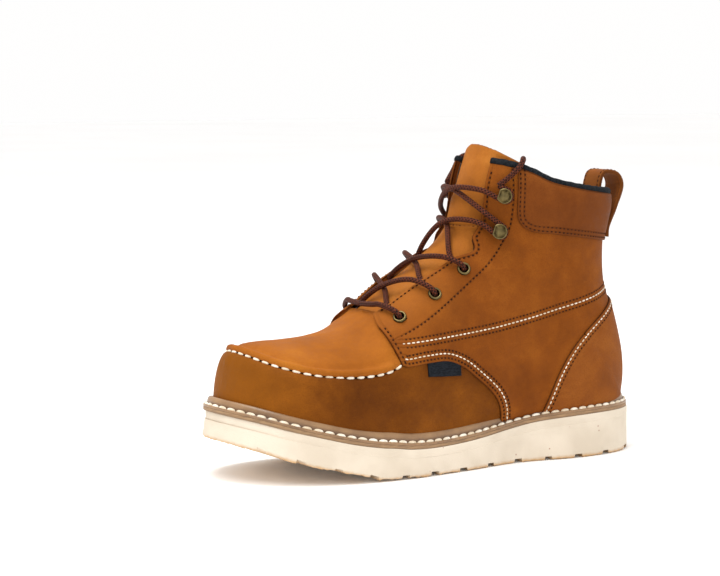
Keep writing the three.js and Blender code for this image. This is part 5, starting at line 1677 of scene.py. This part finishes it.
def tongue():
    y = np.linspace(-1, 1, 61)
    y = np.sign(y) * (1 - (1 - np.abs(y)) ** 1.25) * TONGUE_HALF
    count = 190
    verts = np.empty((count, len(y), 3))
    depth = np.empty((count, len(y)))
    for j, aside in enumerate(y):
        side = 1 if aside >= 0 else -1
        fine = np.linspace(5.9, 20.95, 400)
        reach = reach_for(fine, side, np.abs(aside - 0) + 0 * fine)
        line = lifted(fine, reach, tongue_face(fine))
        top = tongue_top(aside)
        last = int(np.argmax(line[:, 2] > top)) if (line[:, 2] > top).any() else len(fine) - 1
        line, fine_here, reach_here = line[: last + 1], fine[: last + 1], reach[: last + 1]
        run = run_of(line)
        back = np.concatenate([[0, 0.15, 0.45, 0.9, 1.5], np.linspace(2.4, run[-1] / MM, count - 5)]) * MM
        where = (run[-1] - back)[::-1]
        section = np.interp(where, run, fine_here)
        reach_at = np.interp(where, run, reach_here)
        edge = np.minimum(TONGUE_HALF - abs(aside), run[-1] - where)
        z = lifted(section, reach_at, tongue_face(section))[:, 2]
        step = np.clip((z - tongue_step_z(aside)) / (1.0 * MM), 0, 1)
        step = np.sqrt(1 - (1 - step) ** 2)
        middle = np.clip(1 - (aside / (30 * MM)) ** 2, 0, 1)
        pad = 1.1 * MM * step * middle**0.5 * np.clip((z - tongue_step_z(aside)) / (16 * MM), 0.25, 1)
        groove_at = np.exp(-(((z - tongue_step_z(aside) - 2.6 * MM) / (0.8 * MM)) ** 2)) * 0.35 * MM
        wave = 0.5 * MM * np.sin(z / (11 * MM) + aside / (14 * MM)) * np.exp(-(((z - 168 * MM) / (20 * MM)) ** 2))
        forward = 2.6 * MM * np.clip((section - 12) / 3, 0, 1) * np.clip((29 * MM - abs(aside)) / (9 * MM), 0, 1)
        height = tongue_face(section) + 0.7 * MM * step + pad - groove_at + wave * middle - rolled(edge, 1.0 * MM)
        height = height + forward
        verts[:, j] = lifted(section, reach_at, height)
        depth[:, j] = edge
    n, m = depth.shape
    faces = grid_faces(n, m)[:, [0, 3, 2, 1]]
    flat = verts.reshape(-1, 3)
    f = faces[len(faces) // 2]
    if np.cross(flat[f[1]] - flat[f[0]], flat[f[3]] - flat[f[0]])[0] < 0:
        faces = faces[:, ::-1]
    return verts, faces, depth


def tongue_back(verts, thick):
    """The lining side of the tongue, a sheet behind its face, joined to it by the rim."""
    a = np.gradient(verts, axis=0)
    b = np.gradient(verts, axis=1)
    normal = unit(np.cross(b, a))
    normal *= np.sign(normal[..., :1].mean())
    return verts - normal * thick


TONGUE_LEATHER = leather("tongue_leather", paint(132, 74, 24), paint(162, 96, 34), paint(186, 118, 48),
                         seams=[("hem", 2.6)])
tongue_grid, tongue_faces, tongue_edge = tongue()
hem = (tongue_grid[..., 2] - 150.5 * MM)
piece("tongue_front", tongue_grid.reshape(-1, 3), tongue_faces, TONGUE_LEATHER, ["tongue"],
      {"edge": tongue_edge.ravel(), "hem": hem.ravel()})
behind_grid = tongue_back(tongue_grid, 2.0 * MM)


def tongue_lining():
    n, m = tongue_edge.shape
    face = tongue_grid.reshape(-1, 3)
    back = behind_grid.reshape(-1, 3).copy()
    back[-m:, 2] += 0.8 * MM
    verts = np.concatenate([back, face])
    ids = np.arange(n * m).reshape(n, m)
    base = n * m
    faces = tongue_faces[:, ::-1].tolist()
    for line in (ids[-1], ids[:, 0], ids[:, -1]):
        for a, b in zip(line[:-1], line[1:]):
            faces.append([int(a), int(b), int(b + base), int(a + base)])
    return verts, faces


verts, faces = tongue_lining()
piece("tongue_lining", verts, faces, LINING, ["tongue"])


def tongue_threads():
    columns = np.arange(8, 53)
    rows_z = tongue_grid[..., 2]
    row = []
    for j in columns:
        k = int(np.argmin(np.abs(rows_z[:, j] - tongue_step_z(0) - 2.6 * MM)))
        row.append(tongue_grid[k, j])
    row = np.array(row)
    row[:, 2] = row[:, 2].mean() - 0.03 * row[:, 1]
    brown = along_line(row, 3.0 * MM, 2.1 * MM, 0.8 * MM, 0.1)
    rim = tongue_grid[-3, 30:58] * 0.25 + behind_grid[-3, 30:58] * 0.75
    white = along_line(rim + [0, 0, 0.5 * MM], 3.4 * MM, 2.4 * MM, 0.8 * MM, 0.25)
    return brown, white


def along_line(line, pitch, long, wide, bow):
    run = run_of(line)
    centre_at = (np.arange(int(run[-1] / pitch)) + 0.5) * pitch

    def at(where):
        return read_at(where, run, line)

    along = unit(at(centre_at + long / 2) - at(centre_at - long / 2))
    normal = unit(np.stack([np.ones(len(along)), along[:, 0] * 0, np.full(len(along), 0.5)], -1))
    normal = unit(normal - along * (normal * along).sum(1)[:, None])
    return capsules(at(centre_at), along, np.cross(normal, along), normal, long, wide, bow)


brown, white = tongue_threads()
thread("tongue_seam", [brown], BROWN_THREAD)
thread("tongue_rim_seam", [white], WHITE_THREAD)

# %% [markdown]
# ## Eyelets and speed hooks
# Both are stamped from thin brass and antiqued: dark in the hollows, rubbed bright where they stand proud. An
# eyelet is a rolled ring. A hook has a plate, a stem and a domed cap with one flat side.

# %% Hardware
def brass_finish():
    f = Finish("antique_brass", roughness=0.4, metallic=1.0)
    blot = f.noise(420, 4, 0.6)
    high = f.mark("proud")
    colour = f.stops(blot, (0.35, paint(46, 38, 22)), (0.55, paint(86, 74, 44)), (0.72, paint(116, 102, 66)))
    colour = f.blend(f.between(high, 0.5, 1.0, 0, 0.5), colour, paint(146, 130, 88))
    colour = f.blend(f.between(high, 0.4, 0.0, 0, 0.8), colour, paint(30, 22, 12))
    return f.done(colour, f.between(blot, 0.3, 0.7, 0.28, 0.5), f.bump(blot, 0.06 * MM))


BRASS = brass_finish()
FASTENING_SEAT = QUARTER + 0.45 * MM


def local_frame(section, reach):
    """Seat, outward normal, way up the section line and way off the throat."""
    seat = surface(section, reach)
    normal = surface_normal(np.array([section]), np.array([reach]))[0]
    up = surface(section + 0.1, reach) - surface(section - 0.1, reach)
    up = unit(up - normal * (up @ normal))
    away = surface(section, reach * 1.02) - surface(section, reach * 0.98)
    away = away - normal * (away @ normal)
    away = unit(away - up * (away @ up))
    return seat, normal, up, away


def lathe(profile, frame_at, height, turns=36, flat=None, scallop=0.0):
    seat, normal, up, away = frame_at
    angle = np.arange(turns) * 2 * np.pi / turns
    verts, proud = [], []
    for radius, rise, shine in profile:
        r = np.full(turns, radius * MM)
        if flat is not None and radius > 3:
            share, toward = flat
            cap = share * 5 * MM / np.maximum(np.cos(angle - toward), 1e-3)
            r = np.where(np.cos(angle - toward) > 0, np.minimum(r, cap * radius / 5), r)
        if scallop and radius > 3.6:
            r = r * (1 + scallop * np.cos(angle * 9))
        ring = (seat + normal * (height + rise * MM)
                + np.outer(r * np.cos(angle), up) + np.outer(r * np.sin(angle), away))
        verts.append(ring)
        proud.append(np.full(turns, shine))
    n = len(profile)
    i, k = np.meshgrid(np.arange(n - 1), np.arange(turns), indexing="ij")
    nxt = (k + 1) % turns
    faces = np.stack([i * turns + k, i * turns + nxt, (i + 1) * turns + nxt, (i + 1) * turns + k], -1).reshape(-1, 4)
    return np.concatenate(verts), faces.tolist(), np.concatenate(proud)


EYELET_PROFILE = [(2.6, -5.4, 0), (2.6, -0.3, 0), (2.65, 0.35, 0.2), (2.85, 0.85, 0.7), (3.2, 1.15, 1), (3.6, 1.2, 1),
                  (4.0, 0.95, 0.8), (4.3, 0.5, 0.4), (4.4, 0.05, 0.1), (4.3, -0.4, 0)]
HOOK_PROFILE = [(0.1, 0, 0), (4.4, 0, 0), (4.5, 0.4, 0.3), (4.2, 0.9, 0.5), (2.5, 1.05, 0.1), (2.1, 1.6, 0.1),
                (2.1, 5.0, 0.2),
                (2.6, 5.6, 0.2), (4.4, 5.75, 0.3), (4.95, 6.0, 0.7), (5.0, 6.35, 1), (4.8, 6.75, 1), (4.35, 6.95, 0.8),
                (4.0, 6.85, 0.2), (3.7, 6.95, 0.35), (2.6, 7.35, 0.7), (1.3, 7.55, 0.8), (0.1, 7.6, 0.8)]

for name, side in SIDES.items():
    for number, (section, reach) in enumerate(EYELETS, 1):
        verts, faces, proud = lathe(EYELET_PROFILE, local_frame(section, side * reach), FASTENING_SEAT, 45,
                                    scallop=0.012)
        piece(f"eyelet_{number}_{name}_ring", verts, faces, BRASS, [f"eyelet_{number}_{name}"],
              {"proud": proud})
    for number, (section, reach) in enumerate(HOOKS, 1):
        verts, faces, proud = lathe(HOOK_PROFILE, local_frame(section, side * reach), FASTENING_SEAT, 40,
                                    flat=(0.8, -0.9 * np.pi / 2))
        piece(f"hook_{number}_{name}_cap", verts, faces, BRASS, [f"hook_{number}_{name}"],
              {"proud": proud})

# %% [markdown]
# ## Lacing
# One lace, laced as for wearing: a bar through the lowest eyelets, then both halves cross, come up through
# each eyelet from below, and wrap round the hooks. Each half is one tube from the middle of the bar.

# %% Lacing
ON_TONGUE, ON_FACING, ON_EYELET, ON_HOOK = -0.95 * MM, 3.95 * MM, 5.3 * MM, 5.4 * MM


def throat_reach(section, side, less=0.0):
    return float(reach_for(np.array(section), side, THROAT_HALF(section) - less))


def over(section, reach, height):
    return lifted(np.array([section]), np.array([reach]), np.array([height]))[0]


def half_lace(first_side):
    """Route of one half: it starts at the bar's middle and goes to the eyelet of first_side."""
    side = first_side
    section, reach = EYELETS[0]
    route = [over(section - 0.2, 0, ON_FACING),
             over(section - 0.16, throat_reach(section, side) * 0.62, ON_FACING + 1.0 * MM),
             over(section - 0.1, throat_reach(section - 0.1, side), ON_EYELET + 0.2 * MM),
             over(section, side * (reach - 0.022), ON_EYELET - 0.6 * MM)]
    stops = EYELETS + HOOKS
    for number in range(len(stops)):
        section, reach = stops[number]
        if number < 3:
            route += [over(section, side * (reach + 0.001), 1.6 * MM),
                      over(section + 0.04, side * (reach - 0.01), -2.6 * MM)]
            inside = throat_reach(section + 0.15, side, 2.6 * MM)
            route += [over(section + 0.15, inside, ON_TONGUE - 0.2 * MM)]
        else:
            seat, normal, up, away = local_frame(section, side * reach)
            for turn in (150, 115, 80, 45, 15):
                angle = math.radians(turn)
                route.append(seat + normal * ON_HOOK + (up * math.cos(angle) + away * math.sin(angle)) * 4.15 * MM)
        if number == len(stops) - 1:
            break
        following, next_reach = stops[number + 1]
        if number == 3:
            route.append(over(section + 0.7, throat_reach(section + 0.7, side), ON_HOOK + 0.2 * MM))
        middle = (1.4, 1.4, 1.6, 3.6)[number]
        side = -side
        lift = 1.85 if side > 0 else -1.65
        centre = (section + following) / 2
        route.append(over(centre, 0, (middle + lift) * MM))
        edge = section + (following - section) * 0.84
        rise = ON_EYELET + 0.5 * MM if number < 2 else ON_HOOK
        route.append(over(edge, throat_reach(edge, side), rise))
        if number < 2:
            route.append(over(following - 0.02, side * (next_reach - 0.024), ON_EYELET - 0.5 * MM))
    x, y, z = LACE_END[0]
    route.append(np.array([x, side * y, z]) * MM)
    return route, side


lace_parts = []
for first in (1, -1):
    route, last = half_lace(first)
    line = centripetal(route, 0.8 * MM)
    verts, faces, marks = tube(line, LACE / 2, 16)
    lace_parts.append((verts, faces, marks))
    print("half of the lace:", round(float(np.linalg.norm(np.diff(line, axis=0), axis=1).sum()) / MM), "mm, ends on",
          "lateral" if last > 0 else "medial")
verts, faces, marks = joined(lace_parts)
piece("lace", verts, faces, LACE_FINISH,
      ["lace_bar", "lace_cross_1", "lace_cross_2", "lace_cross_3", "lace_cross_4"],
      {"along": marks[:, 0], "around": marks[:, 1]})

# %% [markdown]
# ## Pull loop and side tag
# The loop is one strap, sewn under the cuff's lower seam and inside the collar. The tag is a folded piece of
# black woven tape, caught under the quarter's edge and left plain.

# %% Pull loop
def loop_path():
    outside, inside, rise, sewn = 6.3, 4.6, 10, 33
    collar_back = 0.793 * SHAFT_HEIGHT

    def at(above, out):
        back = float(back_at((collar_back + min(above, 0) * MM) / BACK_HEIGHT))
        return [back - out * MM, 0, DATUM + collar_back + above * MM]

    return [at(-sewn, outside), at(-0.82 * sewn, outside), at(-0.4 * sewn, outside + 0.4 * rise),
            at(0.2 * rise, outside + 0.7 * rise), at(0.9 * rise, outside + 0.3 * rise), at(rise, -inside / 3),
            at(0.4 * rise, -inside), at(-0.26 * sewn, -inside), at(-0.57 * sewn, -inside)]


LOOP_LEATHER = leather("loop_leather", paint(108, 58, 22), paint(136, 78, 32), paint(160, 98, 44),
                       seams=[("edge", 2.4)])


def pull_loop():
    line = centripetal(loop_path(), 1.2 * MM)
    way = unit(np.gradient(line, axis=0))
    out = np.stack([-way[:, 2], way[:, 1] * 0, way[:, 0]], -1)
    side = np.zeros_like(out) + [0, 1.0, 0]
    share = np.linspace(0, 1, len(line))
    half = (10 - 0.7 * np.sin(np.pi * share))[:, None]
    profile = []
    for y, z in [(-1, -0.6), (-1, 0.6), (-0.97, 1.05), (-0.9, 1.28), (-0.76, 1.22), (-0.6, 1.3), (-0.3, 1.3), (0, 1.3),
                 (0.3, 1.3),
                 (0.6, 1.3), (0.76, 1.22), (0.9, 1.28), (0.97, 1.05), (1, 0.6), (1, -0.6), (0.97, -1.05), (0.9, -1.25),
                 (0.5, -1.3), (0, -1.3), (-0.5, -1.3), (-0.9, -1.25), (-0.97, -1.05)]:
        profile.append((y, z))
    rings = np.stack([line + side * half * y * MM + out * z * MM for y, z in profile], 1)
    n, m = len(line), len(profile)
    faces = []
    for i in range(n - 1):
        for j in range(m):
            k = (j + 1) % m
            faces.append([i * m + j, (i + 1) * m + j, (i + 1) * m + k, i * m + k])
    faces += [list(range(m)), list(range((n - 1) * m, n * m))[::-1]]
    edge = np.array([[(1 - abs(y)) * 10 * MM for y, _ in profile]] * n).ravel()
    seams = []
    for y in (-7.6, 7.6):
        seams.append(line_stitches(line + side * y * MM + out * 1.3 * MM, out))
    return rings.reshape(-1, 3), faces, edge, seams


def line_stitches(line, normal, pitch=3 * MM, long=2.1 * MM, wide=0.8 * MM):
    run = run_of(line)
    centre_at = (np.arange(int(run[-1] / pitch)) + 0.5) * pitch

    def at(where, values):
        return read_at(where, run, values)

    along = unit(at(centre_at + long / 2, line) - at(centre_at - long / 2, line))
    up = unit(at(centre_at, normal))
    up = unit(up - along * (up * along).sum(1)[:, None])
    return capsules(at(centre_at, line), along, np.cross(up, along), up, long, wide, 0.1)


verts, faces, edge, seams = pull_loop()
piece("pull_loop_strap", verts, faces, LOOP_LEATHER, ["pull_loop"], {"edge": edge})
thread("pull_loop_seams", seams, BROWN_THREAD)


# %% [markdown]
# ## The side tag
# A small woven tag is caught under the low edge of the quarter. On the real boot it carries words, and here it
# stays plain. It is one more panel on the last, so it follows the leather under it.

# %% Side tag
def tag_finish():
    f = Finish("woven_tag", roughness=0.82, Specular_IOR_Level=0.06)
    ribs = f.noise(1500, 2, 0.5, 0, stretch=(0.3, 1, 2.2))
    colour = f.blend(f.between(ribs, 0.3, 0.7), paint(16, 18, 22), paint(38, 42, 48))
    return f.done(colour, normal=f.bump(ribs, 0.12 * MM))


def side_tag():
    middle, hang = 0.044, 0.214
    half = 13 * MM / LENGTH
    low, high = hang - 9 * MM / SHAFT_HEIGHT, hang + 3 * MM / SHAFT_HEIGHT
    a, b = (middle + half, low + 1.3 * MM / SHAFT_HEIGHT), (middle - half, low)
    c, d = (middle - half, high), (middle + half, high)

    def side_line(start, end, count, sag=0.0):
        halfway = ((start[0] + end[0]) / 2, (start[1] + end[1]) / 2 - sag)
        return drawn([start, halfway, end], 1, count)

    bottom, top = side_line(a, b, 20, sag=0.001), side_line(d, c, 20)
    left, right = side_line(a, d, 12), side_line(b, c, 12)
    return panel(bottom, top, left, right, 1.15 * MM, 0.1 * MM, cut="blr", step=1.5 * MM, roll=0.4 * MM)


verts, faces, gap, _ = side_tag()
piece("plain_tag", verts, faces, tag_finish(), ["side_tag"], {"edge": gap})

# %% [markdown]
# ## Floor and light
# A product photograph on white: a pale floor that fades into a pale background, a large soft light from above,
# a weaker one from the camera's left, and a soft shadow under the sole.

# %% Floor and light
def pale_floor():
    mesh = bpy.data.meshes.new("floor")
    mesh.from_pydata([(-8, -8, 0), (8, -8, 0), (8, 8, 0), (-8, 8, 0)], [], [(0, 1, 2, 3)])
    obj = bpy.data.objects.new("floor", mesh)
    bpy.context.scene.collection.objects.link(obj)
    f = Finish("pale_floor", roughness=0.6, Specular_IOR_Level=0.1, Emission_Strength=0.035)
    tone = f.noise(1.5, 2)
    mesh.materials.append(f.done(f.blend(f.between(tone, 0.3, 0.7), (0.95, 0.945, 0.94, 1), (0.97, 0.967, 0.963, 1))))


def soft_light(name, place, target, size, watts, colour=(1, 1, 1)):
    data = bpy.data.lights.new(name, "AREA")
    data.shape = "RECTANGLE"
    data.size, data.size_y = size
    data.energy = watts
    data.color = colour
    obj = bpy.data.objects.new(name, data)
    obj.location = place
    obj.rotation_euler = (Vector(target) - Vector(place)).to_track_quat("-Z", "Y").to_euler()
    bpy.context.scene.collection.objects.link(obj)


pale_floor()
world = bpy.data.worlds.new("studio")
bpy.context.scene.world = world
world.use_nodes = True
world.node_tree.nodes["Background"].inputs[0].default_value = (1, 0.995, 0.99, 1)
world.node_tree.nodes["Background"].inputs[1].default_value = 1.0
soft_light("key", (1.1, 0.55, 1.9), (0.03, 0, 0.1), (0.9, 0.9), 12, (1, 0.97, 0.92))
soft_light("top", (0.3, -0.1, 1.9), (0.05, 0, 0.1), (0.9, 0.9), 21)
bpy.context.scene.view_settings.view_transform = "Standard"
